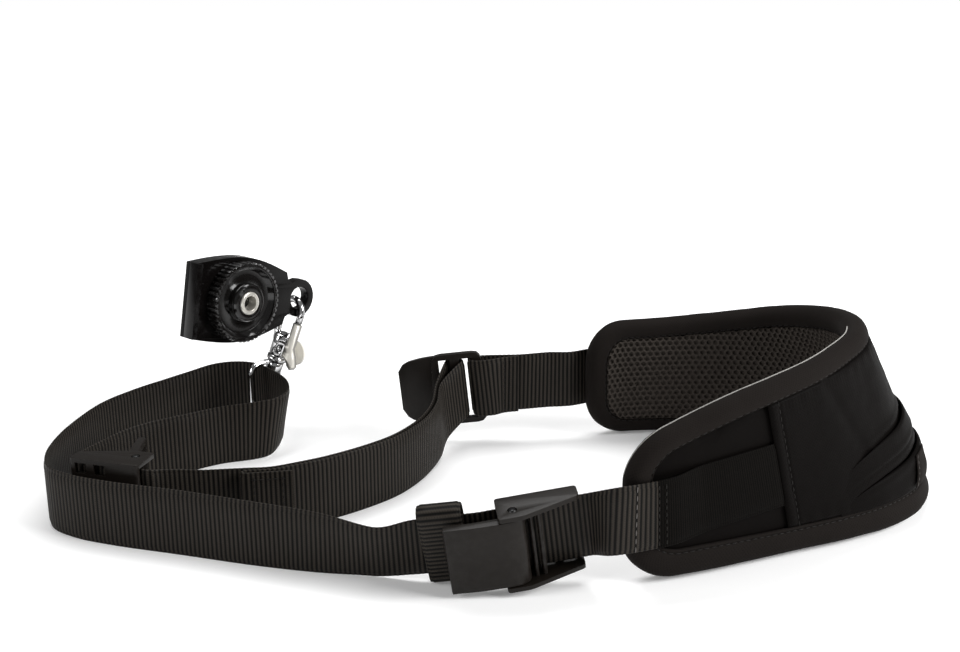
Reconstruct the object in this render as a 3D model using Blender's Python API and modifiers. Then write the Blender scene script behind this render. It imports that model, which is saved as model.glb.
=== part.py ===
"""Camera sling: a padded shoulder strap that carries a camera upside down from its tripod socket.

One length of 1 in webbing starts on the shoulder pad, runs through two cam-lock bumpers and a keeper,
and doubles round the bar of a ladder lock. A chrome trigger snap rides on it in a steel loop, and
hooks the eye of the camera plate. Everything stands on edge, as the strap was laid out:
X runs along the sling, Y away from the viewer, and the floor is Z = 0.
"""

import bpy
import bmesh
import math
from mathutils import Matrix, Vector

MM = 0.001

# Fits between neighbours
GAP = 0.3 * MM                  # between pieces that touch
RUNNING = 0.35 * MM             # round a pin or a turning shaft
PLY = 2.1 * MM                  # from one webbing layer's middle to the next one's

# Webbing
WEBBING_WIDTH = 25.4 * MM
WEBBING_THICK = 1.5 * MM
FLOOR_CLEAR = 0.1 * MM          # under the lower edge of a strap that stands on the floor
STATION = 5.0 * MM              # longest step along a strap
STATION_TURN = 14.0             # degrees, the most that a strap turns in one step

# Shoulder pad
PAD_CORE = 7.0 * MM             # foam and its cover
PAD_RIM = 4.2 * MM              # how far the binding stands out past the core
PAD_LIP = 9.0 * MM              # how far the binding's lips reach in over the core
PAD_LIP_THICK = 1.3 * MM
PAD_END_RADIUS = 13.8 * MM      # corners of the core
PAD_STATION = 5.5 * MM
PAD_FOOT = 0.7 * MM             # lower rail over the floor
PANEL_THICK = 1.2 * MM
LINING_THICK = 1.3 * MM
PANEL_FRONT = 62.0 * MM         # where the outer panel's hems lie, from each end of the pad
PANEL_REAR = 58.0 * MM
BAND_HEM = 66.0 * MM            # where the diagonal band starts, past the front hem
BAND_LENGTH = 62.0 * MM
BAND_WIDTH = 9.0 * MM
BAND_RISE = 0.42                # rise of the band for each length along the pad
BAND_SINK = 6.0 * MM            # its start under the pad's middle

# Cam-lock bumper, in its own frame: X along the strap, Y out of the base, Z across the strap
BUMPER_LENGTH = 28.0 * MM
BUMPER_WALL = 1.7 * MM
BUMPER_SIDE = 0.6 * MM          # webbing edge to cheek
CHEEK_TALL = 11.0 * MM          # over the base at the pivot end
CHEEK_LOW = 4.4 * MM            # over the base at the narrow end
PIVOT_IN = 5.2 * MM             # pivot from the wide end
PIVOT_UP = 6.4 * MM             # pivot over the base
PIN_RADIUS = 1.25 * MM
LEVER_LENGTH = 18.5 * MM        # past the wide end
LEVER_SKIN = 1.6 * MM
LEVER_DEEP = 3.6 * MM
LEVER_SIDE = 0.45 * MM          # lever to cheek
CAM_TEETH = 7
WINDOW_LONG = 4.6 * MM
WINDOW_TALL = 4.0 * MM
SIDE_LEVER_OPEN = 112.0         # degrees, how far the side bumper's lever stands open

# Ladder lock, in its own frame: X from the end bar to the tab, Y across, Z away from the viewer
LOCK_WIDTH = 32.0 * MM
LOCK_THICK = 3.0 * MM
LOCK_RAIL = 2.4 * MM
LOCK_BAR = 4.0 * MM
LOCK_SLOT = 5.6 * MM
LOCK_TAB = 17.0 * MM
LOCK_TAB_END = 24.0 * MM
LOCK_TAB_SWEEP = 4.5 * MM
LOCK_TAB_THICK = 2.2 * MM
LOCK_PITCH = 6.0                # degrees, tab end down

# Keeper loop
KEEPER_TALL = 33.0 * MM
KEEPER_DEEP = 8.4 * MM
KEEPER_WIDE = 15.0 * MM
KEEPER_RISE = 1.0 * MM          # its middle over the strap's

# Strap ring and trigger snap, in the snap's frame: X across the hook, Y up its length
RING_WIRE = 2.6 * MM
RING_CLEAR = 1.4 * MM           # webbing edges to the ring
RING_DEEP = 11.5 * MM
RING_BOSS = 7.4 * MM
RING_BOSS_TALL = 3.0 * MM
RING_BOSS_DEEP = 3.6 * MM       # under the swivel's middle
POST_HEAD = 2.2 * MM
POST_HEAD_TALL = 1.5 * MM
POST_RADIUS = 1.4 * MM
BARREL_RADIUS = 4.3 * MM
BARREL_TALL = 12.0 * MM
HOOK_WIRE = 3.2 * MM
HOOK_HALF = 5.6 * MM
HOOK_TOP = 31.0 * MM            # bow's wire centre above the swivel
GATE_THICK = 3.0 * MM
GATE_BAR = 2.8 * MM
RIVET_RADIUS = 1.1 * MM

# Camera plate, in its own frame: X along the plate to the eye, Y across, Z out to the wheel
PLATE_THICK = 4.4 * MM
PLATE_LEFT = 23.5 * MM
PLATE_LEFT_HALF = 15.6 * MM
PLATE_MID_HALF = 18.2 * MM
PLATE_NECK = 26.0 * MM
PLATE_NECK_HALF = 11.5 * MM
EYE_OUT = 34.5 * MM
EYE_RADIUS = 8.4 * MM
EYE_HOLE = 5.0 * MM
EYE_SIDE = 0.6 * MM             # the eye hangs nearer the hook's leg than its tip
EYE_SAG = 2.3 * MM              # the bow's curve keeps the eye this far off its top
RUBBER_THICK = 2.0 * MM
WHEEL_RADIUS = 17.0 * MM
WHEEL_THICK = 5.6 * MM
WHEEL_RIM = 2.0 * MM
WHEEL_DISH = 2.6 * MM
WHEEL_TEETH = 48
BOSS_RADIUS = 8.2 * MM
BOSS_TALL = 1.6 * MM            # over the wheel's face
BUSH_RADIUS = 5.2 * MM
BUSH_HOLE = 3.2 * MM
BUSH_LONG = 5.0 * MM
STUD_RADIUS = 3.1 * MM
STUD_OUT = 5.5 * MM             # past the rubber

# Where things stand, in millimetres
STRAP_MID = (WEBBING_WIDTH / 2 + FLOOR_CLEAR) / MM

# Pad rails: lower edge X, Y, then upper edge X, Y, Z, from the front end round the bend to the rear end
PAD_RAILS = [
    (40, -80, 40, -83, 55.0), (53, -77, 50, -80, 56.0), (70, -71, 62, -75, 60.0),
    (90, -62.5, 76, -70, 65.0), (109, -54.5, 91.5, -63, 69.0), (127.5, -47, 106, -53, 71.5),
    (145.5, -37.5, 118, -40, 73.0), (159.5, -24.5, 128, -25, 73.8), (167, -7, 133, -6, 73.0),
    (165.5, 14, 133.5, 12, 70.5), (154, 34, 129, 29, 67.0), (135, 48.5, 118.5, 43, 63.2),
    (112, 56, 103, 52, 58.8), (90, 59.5, 86, 57, 55.4), (70, 60, 67.5, 58.5, 53.2),
    (54, 58, 52, 57, 52.6), (39, 52, 38, 50, 52.2),
]

# Strap routes: X, Y, Z of the middle, then how far the upper edge leans in X and in Y
FRONT_BAND = [
    (-19.5, -82.8, 16.1, -0.08, -0.28), (-31, -82.0, 14.5, -0.04, -0.32), (-43, -80.8, 12.2, 0.0, -0.42),
    (-64.5, -74.8, 12.6, 0.03, -0.17), (-88, -68, STRAP_MID, 0, -0.05), (-115, -59.5, STRAP_MID, 0, 0),
    (-143, -51.5, STRAP_MID, 0, 0), (-158, -45.5, STRAP_MID, 0, 0),
]
UPPER_BAND = [
    (-168, -38, STRAP_MID, 0, 0), (-172.6, -26, STRAP_MID, 0, 0), (-173.4, -7, STRAP_MID, 0, 0),
    (-170.5, 13, STRAP_MID, 0, 0), (-166, 29, STRAP_MID, 0, 0), (-157.5, 43.5, STRAP_MID, 0, 0),
    (-148, 55.5, STRAP_MID, 0, 0), (-138, 65.5, 13.4, 0, 0), (-128, 72, 14.8, 0, 0),
    (-118.5, 72.5, 15.8, 0, 0),
]
RING_TURN = [(-109.3, 70, 16.0, 0, 0), (-98.8, 59, 16.0, 0, 0)]
MIDDLE_BAND = [
    (-93.2, 47, 15.6, 0.12, 0.1), (-92.4, 36.5, 15.0, 0.2, 0.1), (-95.6, 29.4, 14.2, 0.14, 0.08),
    (-102.5, 26.5, 13.5, 0.06, 0.04), (-116.3, 22.7, 12.9, 0, 0), (-129.4, 14.1, STRAP_MID, 0, 0),
    (-141.9, 5.3, STRAP_MID, 0, 0), (-149, -2.5, STRAP_MID, 0, 0), (-154, -12, STRAP_MID, 0, 0),
    (-158.3, -23, 13.4, 0, 0), (-158.6, -29.5, 14.6, 0, 0), (-157.7, -34.4, 15.3, 0, 0),
    (-155.5, -37.9, 15.3, 0, 0),
]
LOWER_BAND = [
    (-124.7, -45.5, 14.6, 0, 0), (-117.8, -43.3, 13.8, 0, 0), (-109, -41.6, STRAP_MID, 0, 0),
    (-94.5, -39.8, STRAP_MID, 0, 0), (-85.5, -38.6, STRAP_MID, 0, 0), (-76.5, -34.4, STRAP_MID, 0, 0),
    (-66.6, -28.8, STRAP_MID, 0, 0), (-54.1, -19.4, STRAP_MID, 0, 0), (-43.4, -8.9, STRAP_MID, 0, 0),
    (-36.4, 1.5, 13.0, 0, 0), (-31, 13.5, 13.2, 0, 0), (-27.2, 26, 14.6, -0.04, 0), (-25.2, 38, 18.2, -0.1, 0),
]
TAIL_FIRST = 3                  # the tail's hem lies beside this point of the lower band
HEM_LONG = 17.0
HEM_FOLD = 1.3

FRONT_BUMPER = dict(at=(-1.5, -83.0, 18.4), yaw=6.0, pitch=8.0, lean=8.0)
SIDE_BUMPER = dict(at=(-131.5, -47.5, 15.3), yaw=163.7, pitch=0.0, lean=0.0)
LOCK_AT = (-8.25, 49.5, 25.2)
SWIVEL_OVER = (-99.6, 68.7)      # where the swivel stands on the ring's upper wire
SWIVEL_SINK = 1.4 * MM           # its middle under the middle of that wire
SNAP_LEAN = 20.0                # degrees, the snap's lean to the right
PLATE_YAW = 50.0                # degrees, the plate's length turned away from X
PLATE_TILT = 11.0               # degrees, wheel end up

CENTRE = (1.87, 9.446, -0.091)  # brings the whole sling's middle over the origin

COLLECTION = "camera_sling"


# Scene helpers

def clear_scene():
    for item in list(bpy.data.objects):
        bpy.data.objects.remove(item, do_unlink=True)
    for name in (COLLECTION, "cutters"):
        made = bpy.data.collections.new(name)
        bpy.context.scene.collection.children.link(made)


def material(name, colour, roughness, metallic=0.0):
    made = bpy.data.materials.get(name)
    if made is None:
        made = bpy.data.materials.new(name)
        made.use_nodes = True
        shader = made.node_tree.nodes["Principled BSDF"]
        shader.inputs["Base Color"].default_value = (*colour, 1.0)
        shader.inputs["Roughness"].default_value = roughness
        shader.inputs["Metallic"].default_value = metallic
    return made


def paint(item, finish):
    item.data.materials.clear()
    item.data.materials.append(finish)
    return item


def link(name, data, matrix=None, cutter=False):
    item = bpy.data.objects.new(name, data)
    bpy.data.collections["cutters" if cutter else COLLECTION].objects.link(item)
    if cutter:
        item.hide_render = True
        item.display_type = "WIRE"
    if matrix is not None:
        item.matrix_world = matrix
    return item


def finished_mesh(item):
    """The object's evaluated mesh, with its seams welded, in its own frame."""
    bpy.context.view_layer.update()
    graph = bpy.context.evaluated_depsgraph_get()
    mesh = bpy.data.meshes.new_from_object(item.evaluated_get(graph))
    work = bmesh.new()
    work.from_mesh(mesh)
    bmesh.ops.remove_doubles(work, verts=work.verts, dist=0.00001)
    bmesh.ops.recalc_face_normals(work, faces=work.faces)
    work.to_mesh(mesh)
    work.free()
    return mesh


def settle(item):
    """Turns an object with curves or modifiers into a plain mesh object of the same name and place."""
    name = item.name
    matrix = item.matrix_world.copy()
    mesh = finished_mesh(item)
    cutter = item.name in bpy.data.collections["cutters"].objects
    bpy.data.objects.remove(item, do_unlink=True)
    return link(name, mesh, matrix, cutter)


def smooth(item, angle=35.0):
    item.data.shade_smooth()
    item.data.set_sharp_from_angle(angle=math.radians(angle))
    return item


def combine(item, tool, operation):
    cut = item.modifiers.new(operation.lower(), "BOOLEAN")
    cut.operation = operation
    cut.solver = "EXACT"
    cut.object = tool
    result = settle(item)
    bpy.data.objects.remove(tool, do_unlink=True)
    return result


def bevel(item, width, segments=2, angle=40.0):
    edge = item.modifiers.new("edges", "BEVEL")
    edge.width = width
    edge.segments = segments
    edge.limit_method = "ANGLE"
    edge.angle_limit = math.radians(angle)
    return item


# Shape helpers

def outline_solid(name, outlines, depth, matrix=None, cutter=False, rounding=0.0):
    """Flat outlines, the first outside and the rest holes, extruded to a depth about their plane."""
    curve = bpy.data.curves.new(name, "CURVE")
    curve.dimensions = "2D"
    curve.fill_mode = "BOTH"
    curve.extrude = depth / 2 - rounding
    curve.bevel_depth = rounding
    curve.bevel_resolution = 1
    curve.offset = -rounding
    for points in outlines:
        spline = curve.splines.new("POLY")
        spline.points.add(len(points) - 1)
        for target, (x, y) in zip(spline.points, points):
            target.co = (x, y, 0.0, 1.0)
        spline.use_cyclic_u = True
    return settle(link(name, curve, matrix, cutter))


def circle(radius, centre=(0.0, 0.0), count=24):
    turn = 2 * math.pi / count
    return [(centre[0] + radius * math.cos(k * turn), centre[1] + radius * math.sin(k * turn))
            for k in range(count)]


def arc(radius, start, end, centre=(0.0, 0.0), count=8):
    """Points along an arc, angles in degrees."""
    steps = [math.radians(start + (end - start) * k / count) for k in range(count + 1)]
    return [(centre[0] + radius * math.cos(a), centre[1] + radius * math.sin(a)) for a in steps]


def rounded(points, radius, count=3):
    """A polygon with each corner replaced by a short arc-like run of points."""
    result = []
    total = len(points)
    for k, (x, y) in enumerate(points):
        here = Vector((x, y))
        before = Vector(points[k - 1]) - here
        after = Vector(points[(k + 1) % total]) - here
        reach = min(radius, before.length * 0.45, after.length * 0.45)
        first = here + before.normalized() * reach
        last = here + after.normalized() * reach
        for step in range(count + 1):
            t = step / count
            mixed = first * (1 - t) ** 2 + here * (2 * t * (1 - t)) + last * t ** 2
            result.append((mixed.x, mixed.y))
    return result


def box(name, low, high, matrix=None, cutter=True):
    mesh = bpy.data.meshes.new(name)
    work = bmesh.new()
    bmesh.ops.create_cube(work, size=1.0)
    for vertex in work.verts:
        vertex.co = Vector((low[k] if vertex.co[k] < 0 else high[k]) for k in range(3))
    work.to_mesh(mesh)
    work.free()
    return link(name, mesh, matrix, cutter)


def rod(name, radius, low, high, matrix, cutter=False, count=20):
    """A cylinder along its frame's Z from low to high."""
    mesh = bpy.data.meshes.new(name)
    work = bmesh.new()
    bmesh.ops.create_cone(work, cap_ends=True, segments=count, radius1=radius, radius2=radius,
                          depth=high - low, matrix=Matrix.Translation((0, 0, (low + high) / 2)))
    work.to_mesh(mesh)
    work.free()
    return link(name, mesh, matrix, cutter)


def turned(name, profile, matrix=None, steps=40, cutter=False):
    """A profile of radius and height, listed down its outer side, turned about the frame's Z."""
    mesh = bpy.data.meshes.new(name)
    mesh.from_pydata([(r, 0.0, z) for r, z in profile],
                     [(k, k + 1) for k in range(len(profile) - 1)], [])
    item = link(name, mesh, matrix, cutter)
    screw = item.modifiers.new("turn", "SCREW")
    screw.steps = steps
    screw.render_steps = steps
    screw.use_merge_vertices = True
    screw.merge_threshold = 0.00001
    return settle(item)


def tube(name, points, radius, matrix, cyclic=False, sides=2):
    curve = bpy.data.curves.new(name, "CURVE")
    curve.dimensions = "3D"
    curve.bevel_depth = radius
    curve.bevel_resolution = sides
    curve.use_fill_caps = True
    spline = curve.splines.new("POLY")
    spline.points.add(len(points) - 1)
    for target, place in zip(spline.points, points):
        target.co = (*place, 1.0)
    spline.use_cyclic_u = cyclic
    return settle(link(name, curve, matrix))


def sheet(name, place, along, across, thickness):
    """A grid laid where place(k, j) says, thickened evenly to both sides."""
    mesh = bpy.data.meshes.new(name)
    work = bmesh.new()
    bmesh.ops.create_grid(work, x_segments=along, y_segments=across, size=1.0)
    for vertex in work.verts:
        k = round((vertex.co.x + 1) / 2 * along)
        j = round((vertex.co.y + 1) / 2 * across)
        vertex.co = place(k, j)
    work.to_mesh(mesh)
    work.free()
    item = link(name, mesh)
    wall = item.modifiers.new("thickness", "SOLIDIFY")
    wall.thickness = thickness
    wall.offset = 0.0
    wall.use_even_offset = True
    return smooth(settle(item))


def loft(name, rings):
    """Closed sections joined in a closed row, as round the rim of the pad."""
    mesh = bpy.data.meshes.new(name)
    work = bmesh.new()
    rows = [[work.verts.new(place) for place in ring] for ring in rings]
    total, size = len(rows), len(rows[0])
    for k in range(total):
        near, far = rows[k], rows[(k + 1) % total]
        for j in range(size):
            work.faces.new((near[j], near[(j + 1) % size], far[(j + 1) % size], far[j]))
    bmesh.ops.recalc_face_normals(work, faces=work.faces)
    work.to_mesh(mesh)
    work.free()
    return smooth(link(name, mesh))


def frame_at(place, x_axis, y_axis, z_axis):
    matrix = Matrix((x_axis, y_axis, z_axis)).transposed().to_4x4()
    matrix.translation = Vector(place)
    return matrix


def turn_matrix(degrees, axis):
    return Matrix.Rotation(math.radians(degrees), 4, axis)


# Curves through chosen points

def spline_at(points, t):
    """A centripetal Catmull-Rom curve through the points at t from 0 to len - 1; it never loops."""
    last = len(points) - 1
    t = min(max(t, 0.0), float(last))
    k = min(int(t), last - 1)
    p1, p2 = points[k], points[k + 1]
    p0 = points[k - 1] if k > 0 else tuple(2 * a - b for a, b in zip(p1, p2))
    p3 = points[k + 2] if k + 2 <= last else tuple(2 * b - a for a, b in zip(p1, p2))
    knots = [0.0]
    for before, after in ((p0, p1), (p1, p2), (p2, p3)):
        chord = math.dist(before[:3], after[:3])
        knots.append(knots[-1] + max(chord, 1e-6) ** 0.5)
    here = knots[1] + (knots[2] - knots[1]) * (t - k)

    def mix(first, last_point, start, end):
        share = (here - start) / (end - start)
        return tuple(x + (y - x) * share for x, y in zip(first, last_point))

    a1 = mix(p0, p1, knots[0], knots[1])
    a2 = mix(p1, p2, knots[1], knots[2])
    a3 = mix(p2, p3, knots[2], knots[3])
    b1 = mix(a1, a2, knots[0], knots[2])
    b2 = mix(a2, a3, knots[1], knots[3])
    return mix(b1, b2, knots[1], knots[2])


def ribbon_stations(route):
    """Places along a strap with its across direction, closer together where it turns."""
    fine = 24
    dense = [spline_at(route, k / fine) for k in range((len(route) - 1) * fine + 1)]
    places = [Vector(p[:3]) for p in dense]
    leans = [Vector((p[3], p[4], 1.0)) for p in dense]
    for place, lean in zip(places, leans):
        up = lean.normalized()
        edge = math.sqrt(1 - up.z ** 2) * WEBBING_THICK / 2
        place.z = max(place.z, up.z * WEBBING_WIDTH / 2 + edge + FLOOR_CLEAR)
    stations = []
    gone, turned_by = 0.0, 0.0
    for k in range(len(places)):
        first = k == 0
        last = k == len(places) - 1
        if not first:
            gone += (places[k] - places[k - 1]).length
        if not first and not last:
            bend = (places[k] - places[k - 1]).angle(places[k + 1] - places[k], 0.0)
            turned_by += math.degrees(bend)
        if first or last or gone >= STATION or turned_by >= STATION_TURN:
            stations.append((places[k], leans[k].normalized()))
            gone, turned_by = 0.0, 0.0
    return stations


def webbing(name, route, finish):
    stations = ribbon_stations(route)

    def place(k, j):
        middle, up = stations[k]
        return middle + up * WEBBING_WIDTH * (j - 0.5)

    item = sheet(name, place, len(stations) - 1, 1, WEBBING_THICK)
    return paint(item, finish)


def metres(points):
    return [(x * MM, y * MM, z * MM, lean_x, lean_y) for x, y, z, lean_x, lean_y in points]


# The shoulder pad's surface

class PadSurface:
    """Ruled between the two rails: a place is a length along the middle, a height and a depth."""

    def __init__(self, rails):
        self.rails = [tuple(v * MM for v in row) for row in rails]
        self.steps = 400
        self.lengths = [0.0]
        last = self.middle(0.0)
        for k in range(1, self.steps + 1):
            here = self.middle(self.parameter(k))
            self.lengths.append(self.lengths[-1] + (here - last).length)
            last = here
        self.length = self.lengths[-1]

    def parameter(self, k):
        return k / self.steps * (len(self.rails) - 1)

    def edges(self, t):
        lower_x, lower_y, upper_x, upper_y, upper_z = spline_at(self.rails, t)
        return Vector((lower_x, lower_y, PAD_FOOT)), Vector((upper_x, upper_y, upper_z))

    def middle(self, t):
        lower, upper = self.edges(t)
        return (lower + upper) / 2

    def at_length(self, length):
        inside = min(max(length, 0.0), self.length)
        k = 0
        low, high = 0, self.steps
        while high - low > 1:
            k = (low + high) // 2
            if self.lengths[k] <= inside:
                low = k
            else:
                high = k
        span = self.lengths[low + 1] - self.lengths[low]
        return self.parameter(low + (inside - self.lengths[low]) / span)

    def frame(self, length):
        t = self.at_length(length)
        step = 0.02
        lower, upper = self.edges(t)
        tangent = (self.middle(min(t + step, len(self.rails) - 1.0))
                   - self.middle(max(t - step, 0.0))).normalized()
        up = (upper - lower).normalized()
        out = tangent.cross(up).normalized()
        past = length - min(max(length, 0.0), self.length)
        return (lower + upper) / 2 + tangent * past, up, out

    def half_height(self, length):
        lower, upper = self.edges(self.at_length(length))
        return (upper - lower).length / 2 - PAD_RIM

    def place(self, length, height, depth):
        middle, up, out = self.frame(length)
        return middle + up * height + out * depth


PAD = PadSurface(PAD_RAILS)
CORE_START = PAD_RIM
CORE_END = PAD.length - PAD_RIM


def core_half(length):
    """Half the core's height, with its corners rounded off."""
    half = PAD.half_height(length)
    inset = min(length - CORE_START, CORE_END - length)
    if inset >= PAD_END_RADIUS:
        return half
    reach = PAD_END_RADIUS - inset
    return half - PAD_END_RADIUS + math.sqrt(max(PAD_END_RADIUS ** 2 - reach ** 2, 0.0))


def core_lengths():
    corner = [PAD_END_RADIUS * (1 - math.cos(math.radians(a))) for a in range(0, 90, 15)]
    front = [CORE_START + c for c in corner]
    rear = [CORE_END - c for c in reversed(corner)]
    start, end = CORE_START + PAD_END_RADIUS, CORE_END - PAD_END_RADIUS
    count = round((end - start) / PAD_STATION)
    middle = [start + (end - start) * k / count for k in range(count + 1)]
    return front + middle + rear


def pad_sheet(name, lengths, low, high, depth, thickness, finish, rows=1):
    """A sheet on the pad between two heights, each a function of the length."""

    def place(k, j):
        length = lengths[k]
        share = j / rows
        return PAD.place(length, low(length) * (1 - share) + high(length) * share, depth)

    return paint(sheet(name, place, len(lengths) - 1, rows, thickness), finish)


def steps_between(start, end, step=PAD_STATION):
    count = max(2, round((end - start) / step))
    return [start + (end - start) * k / count for k in range(count + 1)]


def rim_outline():
    """Points round the core's edge with the outward direction at each, in length and height."""
    lengths = core_lengths()
    lower = [(s, -core_half(s)) for s in lengths]
    upper = [(s, core_half(s)) for s in reversed(lengths)]
    edge = []
    for (s, half), sign in (((lengths[-1], core_half(lengths[-1])), -1),
                            ((lengths[0], core_half(lengths[0])), 1)):
        edge.append([(s, sign * half * share) for share in (0.5, 0.0, -0.5)])
    points = lower + edge[0] + upper + edge[1]
    total = len(points)
    result = []
    for k, (s, h) in enumerate(points):
        before, after = Vector(points[k - 1]), Vector(points[(k + 1) % total])
        along = (after - before).normalized()
        result.append((s, h, along.y, -along.x))
    return result


def build_pad():
    fabric = material("pad_fabric", (0.035, 0.033, 0.032), 0.85)
    smooth_fabric = material("pad_binding", (0.03, 0.028, 0.028), 0.8)
    mesh_cloth = material("pad_mesh", (0.045, 0.042, 0.04), 0.9)
    core = core_lengths()
    pad_sheet("pad_cushion", core, lambda s: -core_half(s), core_half, 0.0, PAD_CORE, fabric)

    half_core = PAD_CORE / 2
    reach = PAD_LIP
    bulge = PAD_RIM
    shell = half_core + GAP + PAD_LIP_THICK
    section = [(-reach, half_core + GAP), (GAP, half_core + GAP), (GAP, -half_core - GAP),
               (-reach, -half_core - GAP), (-reach, -shell + 0.3 * MM), (-0.85 * reach, -shell),
               (0.0, -shell), (0.55 * bulge, -0.85 * shell), (0.9 * bulge, -0.45 * shell),
               (bulge, 0.0), (0.9 * bulge, 0.45 * shell), (0.55 * bulge, 0.85 * shell),
               (0.0, shell), (-0.85 * reach, shell), (-reach, shell - 0.3 * MM)]
    rings = []
    for length, height, out_length, out_height in rim_outline():
        rings.append([PAD.place(length + d * out_length, height + d * out_height, n)
                      for d, n in section])
    paint(loft("pad_edge_binding", rings), smooth_fabric)

    inset = PAD_LIP + GAP
    lining = [s for s in core if CORE_START + inset <= s <= CORE_END - inset]
    lining = [CORE_START + inset] + lining[1:-1] + [CORE_END - inset]

    def lining_half(s):
        side = min(s - CORE_START - inset, CORE_END - inset - s)
        corner = max(PAD_END_RADIUS - inset, 4 * MM)
        drop = 0.0
        if side < corner:
            drop = corner - math.sqrt(max(corner ** 2 - (corner - side) ** 2, 0.0))
        return PAD.half_height(s) - inset - drop

    pad_sheet("pad_mesh_lining", lining, lambda s: -lining_half(s), lining_half,
              -half_core - GAP - LINING_THICK / 2, LINING_THICK, mesh_cloth)

    panel_depth = half_core + GAP + PANEL_THICK / 2
    panel = steps_between(PANEL_FRONT, PAD.length - PANEL_REAR)

    def panel_half(s):
        return PAD.half_height(s) - inset

    pad_sheet("pad_outer_panel", panel, lambda s: -panel_half(s), panel_half,
              panel_depth, PANEL_THICK, fabric)

    band = steps_between(PANEL_FRONT + BAND_HEM, PANEL_FRONT + BAND_HEM + BAND_LENGTH)
    start = band[0]

    def band_middle(s):
        return -BAND_SINK + (s - start) * BAND_RISE

    band_depth = panel_depth + PANEL_THICK / 2 + GAP + PANEL_THICK / 2
    pad_sheet("pad_diagonal_band", band, lambda s: band_middle(s) - BAND_WIDTH / 2,
              lambda s: band_middle(s) + BAND_WIDTH / 2, band_depth, PANEL_THICK, fabric)

    def corner_top(s):
        return band_middle(s) - BAND_WIDTH / 2 - GAP

    pad_sheet("pad_corner_panel", band, lambda s: -panel_half(s) + 1 * MM, corner_top,
              band_depth, PANEL_THICK, fabric)


# Buckles

def bumper_matrix(at, yaw, pitch, lean):
    place = Matrix.Translation(Vector(at) * MM)
    return (place @ turn_matrix(yaw, "Z") @ turn_matrix(-pitch, "Y") @ turn_matrix(lean, "X")
            @ turn_matrix(180, "X"))


def cheek_outline():
    return rounded([(0.0, -BUMPER_WALL), (BUMPER_LENGTH, -BUMPER_WALL), (BUMPER_LENGTH, CHEEK_LOW),
                    (PIVOT_IN + 3 * MM, CHEEK_TALL), (0.0, CHEEK_TALL)], 1.2 * MM)


def half_inside():
    return WEBBING_WIDTH / 2 + BUMPER_SIDE


def build_bumper(name, matrix, lever_turn):
    plastic = material("black_plastic", (0.05, 0.048, 0.047), 0.45)
    steel = material("pin_steel", (0.35, 0.35, 0.36), 0.3, 1.0)
    inside = half_inside()
    outside = inside + BUMPER_WALL
    body = outline_solid(name + "_frame", [cheek_outline()], 2 * outside, matrix)
    room = box("room", (-5 * MM, 0.0, -inside), (BUMPER_LENGTH + 5 * MM, CHEEK_TALL + 5 * MM, inside),
               matrix)
    body = combine(body, room, "DIFFERENCE")
    for centre in (0.56 * BUMPER_LENGTH, 0.84 * BUMPER_LENGTH):
        for side in (-1, 1):
            middle = side * (inside - WINDOW_TALL / 2)
            hole = box("window", (centre - WINDOW_LONG / 2, -5 * MM, middle - WINDOW_TALL / 2),
                       (centre + WINDOW_LONG / 2, 0.5 * MM, middle + WINDOW_TALL / 2), matrix)
            body = combine(body, hole, "DIFFERENCE")
    pivot = matrix @ Matrix.Translation((PIVOT_IN, PIVOT_UP, 0))
    bore = rod("bore", PIN_RADIUS + RUNNING, -outside - MM, outside + MM, pivot, cutter=True)
    body = combine(body, bore, "DIFFERENCE")
    smooth(paint(body, plastic))

    pin = rod(name + "_pin", PIN_RADIUS, -outside, outside, pivot)
    smooth(paint(pin, steel))

    half = inside - LEVER_SIDE
    cam = PIVOT_UP - WEBBING_THICK - 2 * GAP
    reach = PIVOT_IN + LEVER_LENGTH
    crest = []
    for k in range(CAM_TEETH):
        angle = -150 + k * 16
        crest += [(cam * 0.84 * math.cos(math.radians(angle)), cam * 0.84 * math.sin(math.radians(angle))),
                  (cam * math.cos(math.radians(angle + 8)), cam * math.sin(math.radians(angle + 8)))]
    top = CHEEK_TALL - PIVOT_UP - 0.6 * MM
    outline = crest + arc(cam * 0.86, -35, 50, count=5) + [
        (0.0, top), (-PIVOT_IN, top + 0.2 * MM), (-0.6 * reach, top - 0.2 * MM),
        (-reach, top - 1.4 * MM), (-reach - 0.2 * MM, top - 3.2 * MM),
        (-reach + 1.2 * MM, top - LEVER_DEEP - 0.8 * MM), (-0.6 * reach, top - LEVER_DEEP),
        (-PIVOT_IN, top - LEVER_DEEP)]
    swing = pivot @ turn_matrix(lever_turn, "Z")
    lever = outline_solid(name + "_lever", [outline, circle(PIN_RADIUS + RUNNING, count=16)],
                          2 * half, swing)
    pocket = box("pocket", (-reach + 2.4 * MM, top - LEVER_DEEP - 5 * MM, -half + 2.2 * MM),
                 (-PIVOT_IN - 1.5 * MM, top - LEVER_SKIN, half - 2.2 * MM), swing)
    lever = combine(lever, pocket, "DIFFERENCE")
    smooth(paint(lever, plastic))


def lock_matrix():
    pitch = math.radians(LOCK_PITCH)
    along = Vector((-math.cos(pitch), 0.0, -math.sin(pitch)))
    across = Vector((-math.sin(pitch), 0.0, math.cos(pitch)))
    return frame_at(Vector(LOCK_AT) * MM, along, across, along.cross(across))


def lock_places():
    """Where the bars and slots lie along the ladder lock, from its end bar's middle."""
    end = -LOCK_BAR / 2
    slot_a = LOCK_BAR / 2
    grip = slot_a + LOCK_SLOT
    slot_b = grip + LOCK_BAR
    tab = slot_b + LOCK_SLOT * 0.9
    return end, slot_a, grip, slot_b, tab


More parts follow.
